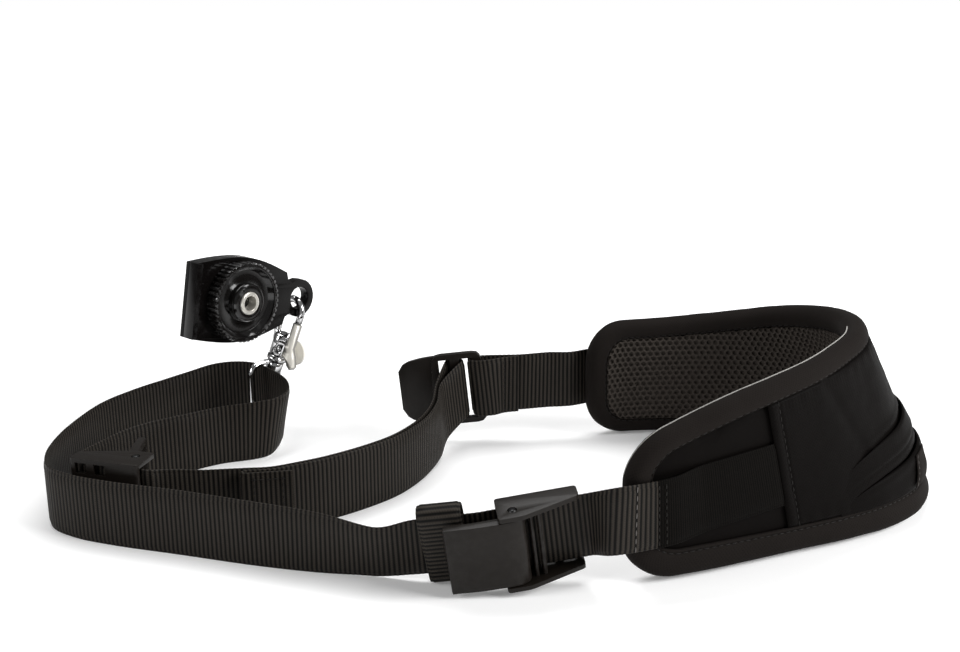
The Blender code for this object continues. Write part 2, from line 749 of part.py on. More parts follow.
def build_ladder_lock():
    plastic = material("black_plastic", (0.05, 0.048, 0.047), 0.45)
    matrix = lock_matrix()
    end, slot_a, grip, slot_b, tab = lock_places()
    half = LOCK_WIDTH / 2
    rail = half - LOCK_RAIL
    outer = rounded([(end, -half), (tab + 3 * MM, -half), (tab + 3 * MM, half), (end, half)], 4 * MM)
    body = outline_solid("ladder_lock", [outer], LOCK_THICK, matrix)
    count = 8

    def tab_place(k, j):
        share = k / count
        length = tab + 0.6 * MM + share * LOCK_TAB
        width = LOCK_WIDTH + (LOCK_TAB_END - LOCK_WIDTH) * share ** 2
        width -= 6 * MM * max(0.0, share - 0.8) / 0.2 * (share - 0.8) / 0.2
        return Vector((length, width * (j / 6 - 0.5) * 0.97, LOCK_TAB_SWEEP * share ** 2))

    blade = sheet("blade", tab_place, count, 6, LOCK_TAB_THICK)
    blade.matrix_world = matrix
    body = combine(body, blade, "UNION")
    for start, stop in ((slot_a, grip), (slot_b, tab)):
        slot = box("slot", (start, -rail, -LOCK_THICK), (stop, rail, LOCK_THICK), matrix)
        body = combine(body, slot, "DIFFERENCE")
    smooth(paint(body, plastic))


def build_keeper(place, up, tangent):
    """A loose loop of webbing round the strap, left of the front bumper."""
    weave = material("black_webbing", (0.04, 0.038, 0.036), 0.8)
    side = tangent.cross(up).normalized()
    thick = WEBBING_THICK
    half_tall, half_deep = KEEPER_TALL / 2, KEEPER_DEEP / 2

    def loop(inset):
        radius = half_deep - inset
        straight = half_tall - half_deep
        return (arc(radius, 0, 180, (0, straight), count=8)
                + arc(radius, 180, 360, (0, -straight), count=8))

    matrix = frame_at(place, side, up, side.cross(up))
    item = outline_solid("keeper_loop", [loop(0.0), loop(thick)], KEEPER_WIDE, matrix)
    smooth(paint(item, weave))


# Strap routes

def along_bumper(bumper, stops):
    """Route points through a bumper, lying on its base."""
    matrix = bumper_matrix(**bumper)
    up = matrix.to_3x3() @ Vector((0, 0, -1))
    lift = GAP + WEBBING_THICK / 2
    return [(*(matrix @ Vector((stop * MM, lift, 0))), up.x / up.z, up.y / up.z) for stop in stops]


def on_pad(lengths, depths):
    points = []
    for length, depth in zip(lengths, depths):
        place = PAD.place(length, 0.0, depth)
        _, up, _ = PAD.frame(length)
        points.append((*place, up.x / up.z, up.y / up.z))
    return points


def wrap(centre, radius, start, end, lean, count=6):
    """Points round a bar that stands along the strap's width, angles in degrees in the XY plane."""
    result = []
    for k in range(count + 1):
        angle = math.radians(start + (end - start) * k / count)
        result.append((centre.x + radius * math.cos(angle), centre.y + radius * math.sin(angle),
                       centre.z, *lean))
    return result


def pad_depths():
    """Depth of the webbing's middle on the pad: over the binding's lip, and down on the core."""
    over = PAD_CORE / 2 + GAP + PAD_LIP_THICK + GAP + WEBBING_THICK / 2
    down = PAD_CORE / 2 + GAP + WEBBING_THICK / 2
    return over, down


def front_start():
    over, down = pad_depths()
    hem = PANEL_FRONT - GAP
    lengths = [hem, 52 * MM, 40 * MM, 28 * MM, PAD_LIP + PAD_RIM + 3 * MM, 5 * MM, -5 * MM]
    depths = [down, down, down, down, over, over, over]
    return on_pad(lengths, depths)


def rear_end():
    over, down = pad_depths()
    total = PAD.length
    lengths = [-5 * MM, 5 * MM, PAD_LIP + PAD_RIM + 3 * MM, 28 * MM, 42 * MM, PANEL_REAR - GAP]
    return on_pad([total - s for s in lengths], [over, over, over, down, down, down])


def bar_wrap():
    """Radius of the webbing's middle round one of the ladder lock's bars."""
    return math.hypot(LOCK_BAR, LOCK_THICK) / 2 + GAP + WEBBING_THICK / 2


def grip_bar():
    _, _, grip, slot_b, _ = lock_places()
    return lock_matrix() @ Vector(((grip + slot_b) / 2, 0, 0))


def shifted(points, amount):
    """The same route moved sideways, to the right of its run."""
    result = []
    for k, point in enumerate(points):
        before = Vector(points[max(k - 1, 0)][:2])
        after = Vector(points[min(k + 1, len(points) - 1)][:2])
        along = (after - before).normalized()
        result.append((point[0] + along.y * amount, point[1] - along.x * amount, *point[2:]))
    return result


def main_route():
    lower = metres(LOWER_BAND)
    bar = grip_bar()
    radius = bar_wrap()
    lean = (-math.tan(math.radians(LOCK_PITCH)), 0.0)
    round_bar = wrap(bar, radius, 165, -38, lean, count=8)
    tail = list(reversed(shifted(lower[TAIL_FIRST:], PLY)))
    end, before = Vector(tail[-1][:3]), Vector(tail[-2][:3])
    run = (end - before).normalized()
    side = Vector((run.y, -run.x, 0)) * -1
    fold = []
    for k in range(1, 5):
        angle = math.radians(45 * k)
        spot = end + run * HEM_FOLD * MM * math.sin(angle) + side * HEM_FOLD * MM * (1 - math.cos(angle))
        fold.append((*spot, 0.0, 0.0))
    back = [(*(Vector(fold[-1][:3]) - run * HEM_LONG * MM * share - side * 0.2 * MM * share), 0.0, 0.0)
            for share in (0.33, 0.66, 1.0)]
    return (front_start() + along_bumper(FRONT_BUMPER, (31, 27, 14, -1, -6)) + metres(FRONT_BAND)
            + metres(UPPER_BAND) + metres(RING_TURN) + metres(MIDDLE_BAND)
            + along_bumper(SIDE_BUMPER, (21, 12, 2, -3)) + lower + round_bar + tail + fold + back)


def rear_route():
    matrix = lock_matrix()
    bar = matrix.translation
    radius = bar_wrap()
    lean = (-math.tan(math.radians(LOCK_PITCH)), 0.0)
    start = [(bar.x + 17 * MM, bar.y + 0.2 * MM, bar.z + 0.9 * MM, 0, 0),
             (bar.x + 11 * MM, bar.y - 0.7 * MM, bar.z + 0.6 * MM, 0, 0),
             (bar.x + 5 * MM, bar.y - 0.9 * radius, bar.z + 0.3 * MM, *lean)]
    loop = wrap(bar, radius, 270, 90, lean, count=6)
    out = [(bar.x + 6 * MM, bar.y + 0.97 * radius, bar.z + 0.3 * MM, *lean),
           (bar.x + 17 * MM, bar.y + 0.2 * MM + PLY, bar.z + 0.9 * MM, 0, 0),
           (bar.x + 30 * MM, bar.y + 4.5 * MM, bar.z + 1.2 * MM, 0, 0)]
    return start + loop + out + rear_end()


def build_webbing():
    weave = material("black_webbing", (0.04, 0.038, 0.036), 0.8)
    webbing("main_strap", main_route(), weave)
    webbing("rear_webbing", rear_route(), weave)
    route = metres(FRONT_BAND)
    middle = Vector(route[0][:3])
    ahead = (Vector(route[1][:3]) - middle).normalized()
    lean = Vector((*route[0][3:], 1.0))
    up = (lean - ahead * lean.dot(ahead)).normalized()
    build_keeper(middle + up * KEEPER_RISE, up, ahead)


# Strap ring, trigger snap and camera plate

def snap_axes():
    lean = math.radians(SNAP_LEAN)
    up = Vector((math.sin(lean), 0.0, math.cos(lean)))
    yaw = math.radians(PLATE_YAW)
    facing = Vector((math.sin(yaw), -math.cos(yaw), 0.0))
    across = (facing - up * facing.dot(up)).normalized()
    return across, up, across.cross(up)


def ring_half_tall():
    """From the ring's middle to the middle of its upper wire."""
    return WEBBING_WIDTH / 2 + RING_CLEAR / 2 + RING_WIRE / 2


def swivel_at():
    upper_wire = 2 * ring_half_tall() + RING_WIRE / 2 + FLOOR_CLEAR
    return Vector((SWIVEL_OVER[0] * MM, SWIVEL_OVER[1] * MM, upper_wire - SWIVEL_SINK))


def snap_matrix():
    across, up, away = snap_axes()
    return frame_at(swivel_at(), across, up, away)


def build_ring():
    chrome = material("chrome", (0.8, 0.8, 0.82), 0.12, 1.0)
    first, second = Vector(RING_TURN[0][:3]) * MM, Vector(RING_TURN[1][:3]) * MM
    centre = (first + second) / 2
    tangent = (second - first).normalized()
    up = Vector((0, 0, 1))
    side = up.cross(tangent).normalized()
    half_tall = ring_half_tall()
    half_deep = RING_DEEP / 2 + RING_WIRE / 2
    radius = half_deep * 0.8
    corners = [(half_deep, -half_tall), (half_deep, half_tall), (-half_deep, half_tall),
               (-half_deep, -half_tall)]
    path = rounded(corners, radius, count=5)
    centre.z = half_tall + RING_WIRE / 2 + FLOOR_CLEAR
    points = [centre + side * x + up * y for x, y in path]
    ring = tube("strap_ring", points, RING_WIRE / 2, Matrix.Identity(4), cyclic=True)
    across, lengthwise, away = snap_axes()
    stand = frame_at(swivel_at(), across, -away, lengthwise)
    boss = rod("boss", RING_BOSS / 2, -RING_BOSS_DEEP, RING_BOSS_TALL / 2, stand, count=28)
    ring = combine(ring, boss, "UNION")
    bore = rod("bore", POST_RADIUS + RUNNING, -RING_BOSS_DEEP, 2 * RING_BOSS_TALL, stand, cutter=True)
    ring = combine(ring, bore, "DIFFERENCE")
    seat = rod("seat", POST_HEAD + RUNNING, -RING_BOSS_DEEP - GAP, -RING_BOSS_TALL / 2, stand, cutter=True)
    ring = combine(ring, seat, "DIFFERENCE")
    smooth(paint(ring, chrome))
    return stand


def build_snap(stand):
    chrome = material("chrome", (0.8, 0.8, 0.82), 0.12, 1.0)
    matrix = snap_matrix()
    low = RING_BOSS_TALL / 2 + GAP
    top = low + BARREL_TALL
    wire = HOOK_WIRE / 2
    bow = HOOK_TOP - HOOK_HALF
    collar = 1.4 * MM
    profile = [(0.0, top + 0.8 * MM), (BARREL_RADIUS * 0.8, top + 0.4 * MM), (BARREL_RADIUS, top - 0.6 * MM),
               (BARREL_RADIUS, low + 2 * collar), (BARREL_RADIUS * 0.82, low + 1.8 * collar),
               (BARREL_RADIUS * 0.82, low + 1.2 * collar), (BARREL_RADIUS * 1.05, low + collar),
               (BARREL_RADIUS * 1.05, low), (0.0, low)]
    body = turned("snap_body", profile, stand, 28)
    path = [(-HOOK_HALF + 1.6 * MM, top - 4 * MM, 0), (-HOOK_HALF + 0.3 * MM, top + 0.5 * MM, 0),
            (-HOOK_HALF, top + 4 * MM, 0), (-HOOK_HALF, bow - 2 * MM, 0)]
    path += [(x, y, 0) for x, y in arc(HOOK_HALF, 180, 0, (0.0, bow), count=14)]
    tip = bow - 3.0 * MM
    path.append((HOOK_HALF, tip, 0))
    hook = tube("hook", path, wire, matrix, sides=3)
    body = combine(body, hook, "UNION")
    slot = GATE_THICK / 2 + RUNNING
    pivot_x, pivot_y = 2.2 * MM, low + 6.2 * MM
    body = combine(body, box("slot", (-0.6 * MM, low + 2.6 * MM, -slot), (8 * MM, top + 3 * MM, slot), matrix),
                   "DIFFERENCE")
    hinge = matrix @ Matrix.Translation((pivot_x, pivot_y, 0))
    body = combine(body, rod("bore", RIVET_RADIUS + RUNNING / 2, -8 * MM, 8 * MM, hinge, cutter=True, count=16),
                   "DIFFERENCE")
    body = combine(body, rod("bore", POST_RADIUS + RUNNING, -3 * MM, low + 2.2 * MM, stand, cutter=True),
                   "DIFFERENCE")
    smooth(paint(body, chrome))

    rivet_half = math.sqrt(BARREL_RADIUS ** 2 - pivot_x ** 2)
    smooth(paint(rod("snap_rivet", RIVET_RADIUS, -rivet_half, rivet_half, hinge, count=16), chrome))
    post = turned("swivel_post", [(0.0, low + 1.9 * MM), (POST_RADIUS, low + 1.9 * MM),
                                  (POST_RADIUS, -RING_BOSS_TALL / 2 - GAP),
                                  (POST_HEAD, -RING_BOSS_TALL / 2 - GAP),
                                  (POST_HEAD, -RING_BOSS_TALL / 2 - GAP - 0.7 * POST_HEAD_TALL),
                                  (0.5 * POST_HEAD, -RING_BOSS_TALL / 2 - GAP - POST_HEAD_TALL),
                                  (0.0, -RING_BOSS_TALL / 2 - GAP - POST_HEAD_TALL)], stand, 20)
    smooth(paint(post, chrome))

    inner = HOOK_HALF - GATE_BAR / 2 - pivot_x
    outer = HOOK_HALF + GATE_BAR / 2 - pivot_x
    reach = tip - GAP - pivot_y
    lug = 2.2 * MM

    def end(x):
        return math.sqrt(reach ** 2 - x ** 2)

    middle = (inner + outer) / 2
    outline = ([(inner, lug + 1.2 * MM), (inner, end(inner)), (middle, end(middle)), (outer, end(outer))]
               + [(outer + 0.2 * MM, 2 * MM), (outer + 2.2 * MM, -0.5 * MM), (outer + 4.6 * MM, -4.6 * MM),
                  (outer + 3.6 * MM, -6.4 * MM), (outer + 1.2 * MM, -5.4 * MM), (outer - 0.6 * MM, -3.0 * MM)]
               + arc(lug, -60, -250, count=8))
    gate = outline_solid("snap_gate", [outline, circle(RIVET_RADIUS + RUNNING / 2, count=16)],
                         GATE_THICK, hinge)
    smooth(paint(gate, chrome))


def plate_matrix():
    yaw, tilt = math.radians(PLATE_YAW), math.radians(PLATE_TILT)
    along = Vector((math.cos(yaw) * math.cos(tilt), math.sin(yaw) * math.cos(tilt), -math.sin(tilt)))
    facing = Vector((math.sin(yaw), -math.cos(yaw), 0.0))
    across = facing.cross(along).normalized()
    _, up, _ = snap_axes()
    bow = swivel_at() + up * HOOK_TOP
    drop = EYE_HOLE - HOOK_WIRE / 2 - EYE_SAG
    eye = bow + across * drop - facing * EYE_SIDE
    return frame_at(eye - along * EYE_OUT, along, across, facing)


def plate_outline():
    """One half of the plate from its square end to the eye, then the same mirrored."""
    half = []
    count = 8
    for k in range(count + 1):
        x = -PLATE_LEFT + PLATE_LEFT * k / count
        share = (x + PLATE_LEFT) / PLATE_LEFT
        half.append((x, PLATE_LEFT_HALF + (PLATE_MID_HALF - PLATE_LEFT_HALF) * math.sin(share * math.pi / 2)))
    for k in range(1, count + 1):
        share = k / count
        half.append((PLATE_NECK * share,
                     PLATE_NECK_HALF + (PLATE_MID_HALF - PLATE_NECK_HALF) * math.cos(share * math.pi / 2)))
    half += [(PLATE_NECK + 1.2 * MM, PLATE_NECK_HALF - 3.4 * MM)]
    half += arc(EYE_RADIUS, 125, 0, (EYE_OUT, 0.0), count=9)
    lower = [(x, -y) for x, y in reversed(half[:-1])]
    return half + lower


def build_plate():
    black = material("black_metal", (0.03, 0.03, 0.032), 0.3, 0.6)
    rubber = material("black_rubber", (0.03, 0.03, 0.03), 0.9)
    steel = material("bush_steel", (0.7, 0.68, 0.64), 0.25, 1.0)
    matrix = plate_matrix()
    plate = outline_solid("camera_plate", [plate_outline(), circle(STUD_RADIUS + RUNNING),
                                           circle(EYE_HOLE, (EYE_OUT, 0.0))], PLATE_THICK, matrix)
    rib = box("rib", (-PLATE_LEFT, -PLATE_LEFT_HALF, 0.0),
              (-PLATE_LEFT + 2.4 * MM, PLATE_LEFT_HALF, PLATE_THICK / 2 + 1.2 * MM), matrix)
    plate = combine(plate, rib, "UNION")
    smooth(paint(bevel(plate, 0.4 * MM, 1), black))

    back = -PLATE_THICK / 2 - GAP - RUBBER_THICK / 2
    pad = [(x, y) for x, y in plate_outline() if x < PLATE_NECK - 3 * MM]
    grip = outline_solid("plate_rubber", [pad, circle(STUD_RADIUS + 4 * RUNNING)], RUBBER_THICK,
                         matrix @ Matrix.Translation((0, 0, back)))
    smooth(paint(grip, rubber))

    low = PLATE_THICK / 2 + GAP
    high = low + WHEEL_THICK
    teeth = []
    for k in range(WHEEL_TEETH):
        turn = 2 * math.pi / WHEEL_TEETH
        for share, radius in ((0.0, WHEEL_RADIUS), (0.5, WHEEL_RADIUS), (0.62, WHEEL_RADIUS - 0.7 * MM),
                              (0.88, WHEEL_RADIUS - 0.7 * MM)):
            angle = (k + share) * turn
            teeth.append((radius * math.cos(angle), radius * math.sin(angle)))
    wheel = outline_solid("plate_wheel", [teeth], WHEEL_THICK,
                          matrix @ Matrix.Translation((0, 0, (low + high) / 2)))
    rim = WHEEL_RADIUS - WHEEL_RIM
    dish = turned("dish", [(BOSS_RADIUS, high + MM), (rim, high + MM), (rim, high - 0.6 * MM),
                           (rim - 1.6 * MM, high - WHEEL_DISH), (BOSS_RADIUS, high - WHEEL_DISH),
                           (BOSS_RADIUS, high + MM)], matrix, 40, cutter=True)
    wheel = combine(wheel, dish, "DIFFERENCE")
    face = high + BOSS_TALL
    shaft = -PLATE_THICK / 2 - GAP - RUBBER_THICK - STUD_OUT
    core = turned("core", [(0.0, face), (BOSS_RADIUS - 0.8 * MM, face),
                           (BOSS_RADIUS - 0.2 * MM, face - 0.8 * MM), (BOSS_RADIUS - 0.2 * MM, low + MM),
                           (STUD_RADIUS, low + 0.5 * MM), (STUD_RADIUS, shaft + 0.8 * MM),
                           (STUD_RADIUS - 0.8 * MM, shaft), (0.0, shaft)], matrix, 40)
    wheel = combine(wheel, core, "UNION")
    pocket = rod("pocket", BUSH_RADIUS, face - BUSH_LONG, face + MM, matrix, cutter=True, count=32)
    wheel = combine(wheel, pocket, "DIFFERENCE")
    smooth(paint(wheel, black))
    snug = BUSH_RADIUS - GAP
    bush = turned("threaded_bush", [(BUSH_HOLE, face + 0.3 * MM), (snug - 0.4 * MM, face + 0.3 * MM),
                                    (snug, face - 0.1 * MM), (snug, face - BUSH_LONG + GAP),
                                    (BUSH_HOLE, face - BUSH_LONG + GAP), (BUSH_HOLE, face + 0.3 * MM)],
                  matrix, 32)
    smooth(paint(bush, steel))


def main():
    clear_scene()
    build_pad()
    build_webbing()
    build_bumper("front_bumper", bumper_matrix(**FRONT_BUMPER), 0.0)
    build_bumper("side_bumper", bumper_matrix(**SIDE_BUMPER), -SIDE_LEVER_OPEN)
    build_ladder_lock()
    stand = build_ring()
    build_snap(stand)
    build_plate()
    for item in bpy.data.collections[COLLECTION].objects:
        item.matrix_world = Matrix.Translation(Vector(CENTRE) * MM) @ item.matrix_world


main()
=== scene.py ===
# %% [markdown]
# # A camera sling laid out on a studio table
# The sling is one length of black webbing on edge, a padded shoulder piece, plastic buckles and a small
# chrome snap that holds a camera plate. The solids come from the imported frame. This lesson gives each
# soft piece its woven or sewn shape, and each hard piece its finish.

# %% Load the frame
import bisect
import math

import bmesh
import bpy
from mathutils import Matrix, Vector, noise


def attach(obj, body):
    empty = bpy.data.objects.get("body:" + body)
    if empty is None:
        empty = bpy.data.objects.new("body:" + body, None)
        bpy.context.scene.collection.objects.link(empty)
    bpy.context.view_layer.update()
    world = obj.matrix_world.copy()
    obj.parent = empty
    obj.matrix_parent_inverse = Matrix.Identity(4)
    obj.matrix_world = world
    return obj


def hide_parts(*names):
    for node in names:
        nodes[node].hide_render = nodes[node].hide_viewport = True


MM = 0.001
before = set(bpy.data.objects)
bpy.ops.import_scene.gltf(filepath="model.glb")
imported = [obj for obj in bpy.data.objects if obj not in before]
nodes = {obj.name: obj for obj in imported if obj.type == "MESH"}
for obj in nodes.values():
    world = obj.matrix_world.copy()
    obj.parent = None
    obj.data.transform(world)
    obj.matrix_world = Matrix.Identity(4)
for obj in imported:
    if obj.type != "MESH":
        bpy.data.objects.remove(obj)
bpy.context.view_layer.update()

# %% [markdown]
# The photograph was taken with a short telephoto lens, a little above the table. The camera's height and
# pitch were solved from the webbing, which is 25.4 mm wide everywhere along its route.

# %% The camera
scene = bpy.context.scene
scene.view_settings.view_transform = "Standard"
CENTRE = Vector((1.87, 9.446, -0.091))      # how far the part's layout was moved to stand over the origin
CAMERA_AT = Vector((-8.0, -482.0, 219.0)) + CENTRE
CAMERA_PITCH = 17.4
lens = bpy.data.cameras.new("photo_camera")
lens.sensor_width = 36.0
lens.lens = 48.75
lens.clip_start = 0.01
lens.clip_end = 20.0
camera = bpy.data.objects.new("photo_camera", lens)
camera.location = CAMERA_AT * MM
camera.rotation_euler = (math.radians(90.0 - CAMERA_PITCH), 0.0, 0.0)
scene.collection.objects.link(camera)
scene.camera = camera
print("camera at", [round(v, 3) for v in camera.location])

# %% [markdown]
# The floor is white and runs into a white surround. Only rays from the camera see the surround
# at full white, so it doesn't pour extra light over the black cloth, and gloss mirrors a darker room.


# %% Nodes in one line
def add_node(tree, kind, values=None, settings=None, **links):
    """A node with socket values, property settings, and sockets linked by name with _ for a space."""
    made = tree.nodes.new(kind)
    for name, value in (settings or {}).items():
        setattr(made, name, value)
    for name, value in (values or {}).items():
        made.inputs[name].default_value = value
    for name, source in links.items():
        tree.links.new(source, made.inputs[name.replace("_", " ")])
    return made


def plug(tree, socket, value):
    """Link a socket to another one, or give it a number or a colour."""
    if isinstance(value, bpy.types.NodeSocket):
        tree.links.new(value, socket)
    else:
        socket.default_value = (*value, 1.0) if isinstance(value, tuple) else value


def math_node(tree, operation, *values):
    made = add_node(tree, "ShaderNodeMath", settings={"operation": operation})
    for socket, value in zip(made.inputs, values):
        plug(tree, socket, value)
    return made.outputs[0]


def span(tree, value, low, high, start=0.0, end=1.0):
    """The value's range from start to end, drawn out from low to high."""
    return add_node(tree, "ShaderNodeMapRange", {"From Min": start, "From Max": end, "To Min": low,
                                                 "To Max": high}, Value=value).outputs[0]


def mix_colours(tree, share, first, second, blend="MIX"):
    made = add_node(tree, "ShaderNodeMix", settings={"data_type": "RGBA", "blend_type": blend})
    colours = [socket for socket in made.inputs if socket.type == "RGBA"]
    for socket, value in zip([made.inputs[0]] + colours, (share, first, second)):
        plug(tree, socket, value)
    return [socket for socket in made.outputs if socket.type == "RGBA"][0]


def finish_material(tree, values, **links):
    """The one shader of a material, and its output."""
    shader = add_node(tree, "ShaderNodeBsdfPrincipled", values, **links)
    add_node(tree, "ShaderNodeOutputMaterial", Surface=shader.outputs[0])


def blank_material(name):
    made = bpy.data.materials.new(name)
    made.use_nodes = True
    made.node_tree.nodes.clear()
    return made, made.node_tree


def blank_object(name, mesh):
    made = bpy.data.objects.new(name, mesh)
    scene.collection.objects.link(made)
    return made


# %% Floor, surround and lamps
SKY_SEEN = 1.0
SKY_LIGHT = 0.16
MIRRORED = 0.3                    # how bright a mirror ray finds the far floor
world = bpy.data.worlds.new("studio")
world.use_nodes = True
scene.world = world
sky = world.node_tree
sky.nodes.clear()
rays = add_node(sky, "ShaderNodeLightPath")
level = add_node(sky, "ShaderNodeMix", {"A": SKY_LIGHT, "B": SKY_SEEN}, {"data_type": "FLOAT"},
                 Factor=rays.outputs["Is Camera Ray"])
back = add_node(sky, "ShaderNodeBackground", {"Color": (1, 1, 1, 1)}, Strength=level.outputs["Result"])
add_node(sky, "ShaderNodeOutputWorld", Surface=back.outputs[0])

FLOOR_SIZE = 6.0
floor_mesh = bpy.data.meshes.new("floor")
half_floor = FLOOR_SIZE / 2
floor_mesh.from_pydata([(-half_floor, -half_floor, 0), (half_floor, -half_floor, 0),
                        (half_floor, half_floor, 0), (-half_floor, half_floor, 0)], [], [(0, 1, 2, 3)])
floor = blank_object("floor", floor_mesh)
floor_finish, tree = blank_material("white_table")
spot = add_node(tree, "ShaderNodeTexCoord")
away = add_node(tree, "ShaderNodeVectorMath", settings={"operation": "LENGTH"})
tree.links.new(spot.outputs["Object"], away.inputs[0])
GLOW_FROM, GLOW_TO = 0.22, 0.65   # the floor brightens over this distance from the middle, in metres
glow = span(tree, away.outputs["Value"], SKY_LIGHT, SKY_SEEN, GLOW_FROM, GLOW_TO)
floor_rays = add_node(tree, "ShaderNodeLightPath")
dimmed = span(tree, floor_rays.outputs["Is Glossy Ray"], 1.0, MIRRORED)
finish_material(tree, {"Base Color": (0.93, 0.93, 0.93, 1), "Roughness": 0.9, "Specular IOR Level": 0.1},
                Emission_Color=glow, Emission_Strength=dimmed)
floor.data.materials.append(floor_finish)


def lamp(name, place, aim, size, power):
    light = bpy.data.lights.new(name, "AREA")
    light.shape = "RECTANGLE"
    light.size, light.size_y = size
    light.energy = power
    made = bpy.data.objects.new(name, light)
    made.location = place
    made.rotation_euler = (Vector(aim) - Vector(place)).to_track_quat("-Z", "Y").to_euler()
    scene.collection.objects.link(made)


lamp("soft_box_right", (0.85, -0.30, 0.55), (0, 0, 0.03), (0.5, 0.5), 12.0)
lamp("soft_box_above", (-0.10, 0.35, 0.95), (0, 0, 0.03), (0.9, 0.5), 8.0)
lamp("soft_box_left", (-0.85, -0.45, 0.55), (0, 0, 0.03), (0.5, 0.4), 3.5)
print("lamps:", len(bpy.data.lights))

# %% [markdown]
# ## Finishes
# Everything here is black, so what tells the pieces apart is weave, sheen and gloss. Three effects are
# shared: a plain weave of two sets of threads, a soft mottle as dyed cloth and moulded plastic have, and
# wear that pales the edges. Each is a node group, built once.


# %% Shader groups
def start_group(name, inputs, outputs):
    group = bpy.data.node_groups.new(name, "ShaderNodeTree")
    for socket, kind, value in inputs:
        made = group.interface.new_socket(socket, in_out="INPUT", socket_type=kind)
        if value is not None:
            made.default_value = value
    for socket, kind in outputs:
        group.interface.new_socket(socket, in_out="OUTPUT", socket_type=kind)
    return group, group.nodes.new("NodeGroupInput"), group.nodes.new("NodeGroupOutput")


def weave_group():
    """Threads over and under each other: a height and a mask of the gaps, from a place in metres."""
    group, given, result = start_group(
        "thread_weave", [("Place", "NodeSocketVector", None), ("Along", "NodeSocketFloat", 1000.0),
                         ("Across", "NodeSocketFloat", 1000.0)],
        [("Height", "NodeSocketFloat"), ("Gap", "NodeSocketFloat")])
    split = add_node(group, "ShaderNodeSeparateXYZ", Vector=given.outputs["Place"])
    turns = [math_node(group, "MULTIPLY", split.outputs[axis], given.outputs[rate])
             for axis, rate in (("X", "Along"), ("Y", "Across"))]
    waves = [math_node(group, "SINE", turn) for turn in turns]
    lift = span(group, math_node(group, "MULTIPLY", *waves), 0.0, 1.0, -1.0, 1.0)
    gap = span(group, lift, 0.0, 1.0, 0.35, 0.0)
    group.links.new(lift, result.inputs["Height"])
    group.links.new(gap, result.inputs["Gap"])
    return group


def mottle_group():
    """Slow and fine cloud of value round 1."""
    group, given, result = start_group(
        "soft_mottle", [("Place", "NodeSocketVector", None), ("Size", "NodeSocketFloat", 60.0),
                        ("Amount", "NodeSocketFloat", 0.2)],
        [("Value", "NodeSocketFloat"), ("Fine", "NodeSocketFloat")])
    slow = add_node(group, "ShaderNodeTexNoise", {"Detail": 4.0}, Vector=given.outputs["Place"],
                    Scale=given.outputs["Size"])
    fast = add_node(group, "ShaderNodeTexNoise", {"Detail": 3.0, "Scale": 1800.0},
                    Vector=given.outputs["Place"])
    around = math_node(group, "SUBTRACT", slow.outputs[0], 0.5)
    value = math_node(group, "ADD", math_node(group, "MULTIPLY", around, given.outputs["Amount"]), 1.0)
    group.links.new(value, result.inputs["Value"])
    group.links.new(fast.outputs[0], result.inputs["Fine"])
    return group


def wear_group():
    """A mask of sharp outer edges, broken up by noise."""
    group, given, result = start_group("edge_wear", [("Place", "NodeSocketVector", None)],
                                       [("Mask", "NodeSocketFloat")])
    ground = add_node(group, "ShaderNodeNewGeometry")
    pointed = span(group, ground.outputs["Pointiness"], 0.0, 1.0, 0.52, 0.62)
    patchy = add_node(group, "ShaderNodeTexNoise", {"Scale": 400.0, "Detail": 4.0},
                      Vector=given.outputs["Place"])
    kept = span(group, patchy.outputs[0], 0.0, 1.0, 0.4, 0.65)
    group.links.new(math_node(group, "MULTIPLY", pointed, kept), result.inputs["Mask"])
    return group


WEAVE, MOTTLE, WEAR = weave_group(), mottle_group(), wear_group()


def place_group(tree, group, place, **values):
    made = tree.nodes.new("ShaderNodeGroup")
    made.node_tree = group
    tree.links.new(place, made.inputs["Place"])
    for name, value in values.items():
        made.inputs[name].default_value = value
    return made


print("shader groups:", [g.name for g in (WEAVE, MOTTLE, WEAR)])

# %% [markdown]
# Cloth takes its weave from the piece's own map, laid out in metres along and across the piece, so the
# threads follow every bend. The gaps between threads are painted darker than the threads, as shade, and
# the sheen of the fibres pales it where it turns away.


# %% Cloth
CLOTH_MOTTLE = 0.2
GAP_SHADE = 0.55                  # painted shade: how dark the gaps between threads are, against the threads


def cloth(name, colour, along, across, depth, roughness, sheen, ribs=0.0, specular=0.2):
    """along and across are threads per metre; depth is the relief of the weave in metres; ribs is the
    pitch of ribs across the piece, whose valleys are darkened with painted shade."""
    made, tree = blank_material(name)
    mapped = add_node(tree, "ShaderNodeUVMap", settings={"uv_map": "cut"})
    solid = add_node(tree, "ShaderNodeTexCoord")
    threads = place_group(tree, WEAVE, mapped.outputs[0], Along=along * math.pi, Across=across * math.pi)
    cloud = place_group(tree, MOTTLE, solid.outputs["Object"], Size=45.0, Amount=CLOTH_MOTTLE)
    # painted shade in the gaps between threads
    shade = span(tree, threads.outputs["Gap"], 1.0, GAP_SHADE)
    value = math_node(tree, "MULTIPLY", shade, cloud.outputs["Value"])
    if ribs:
        spread = add_node(tree, "ShaderNodeSeparateXYZ", Vector=mapped.outputs[0])
        turn = math_node(tree, "MULTIPLY", spread.outputs["X"], 2 * math.pi / ribs)
        wave = math_node(tree, "COSINE", turn)
        # painted shade: the colour darkens in the valleys between the ribs
        value = math_node(tree, "MULTIPLY", value, span(tree, wave, 0.05, 1.0, -0.75, 0.7))
    tone = mix_colours(tree, 1.0, colour, value, "MULTIPLY")
    relief = math_node(tree, "MULTIPLY_ADD", cloud.outputs["Fine"], 0.6, threads.outputs["Height"])
    bump = add_node(tree, "ShaderNodeBump", {"Strength": 1.0, "Distance": depth}, Height=relief)
    rough = span(tree, cloud.outputs["Fine"], roughness - 0.1, roughness + 0.08)
    finish_material(tree, {"Sheen Weight": sheen, "Sheen Roughness": 0.4, "Specular IOR Level": specular},
                    Base_Color=tone, Normal=bump.outputs[0], Roughness=rough)
    return made


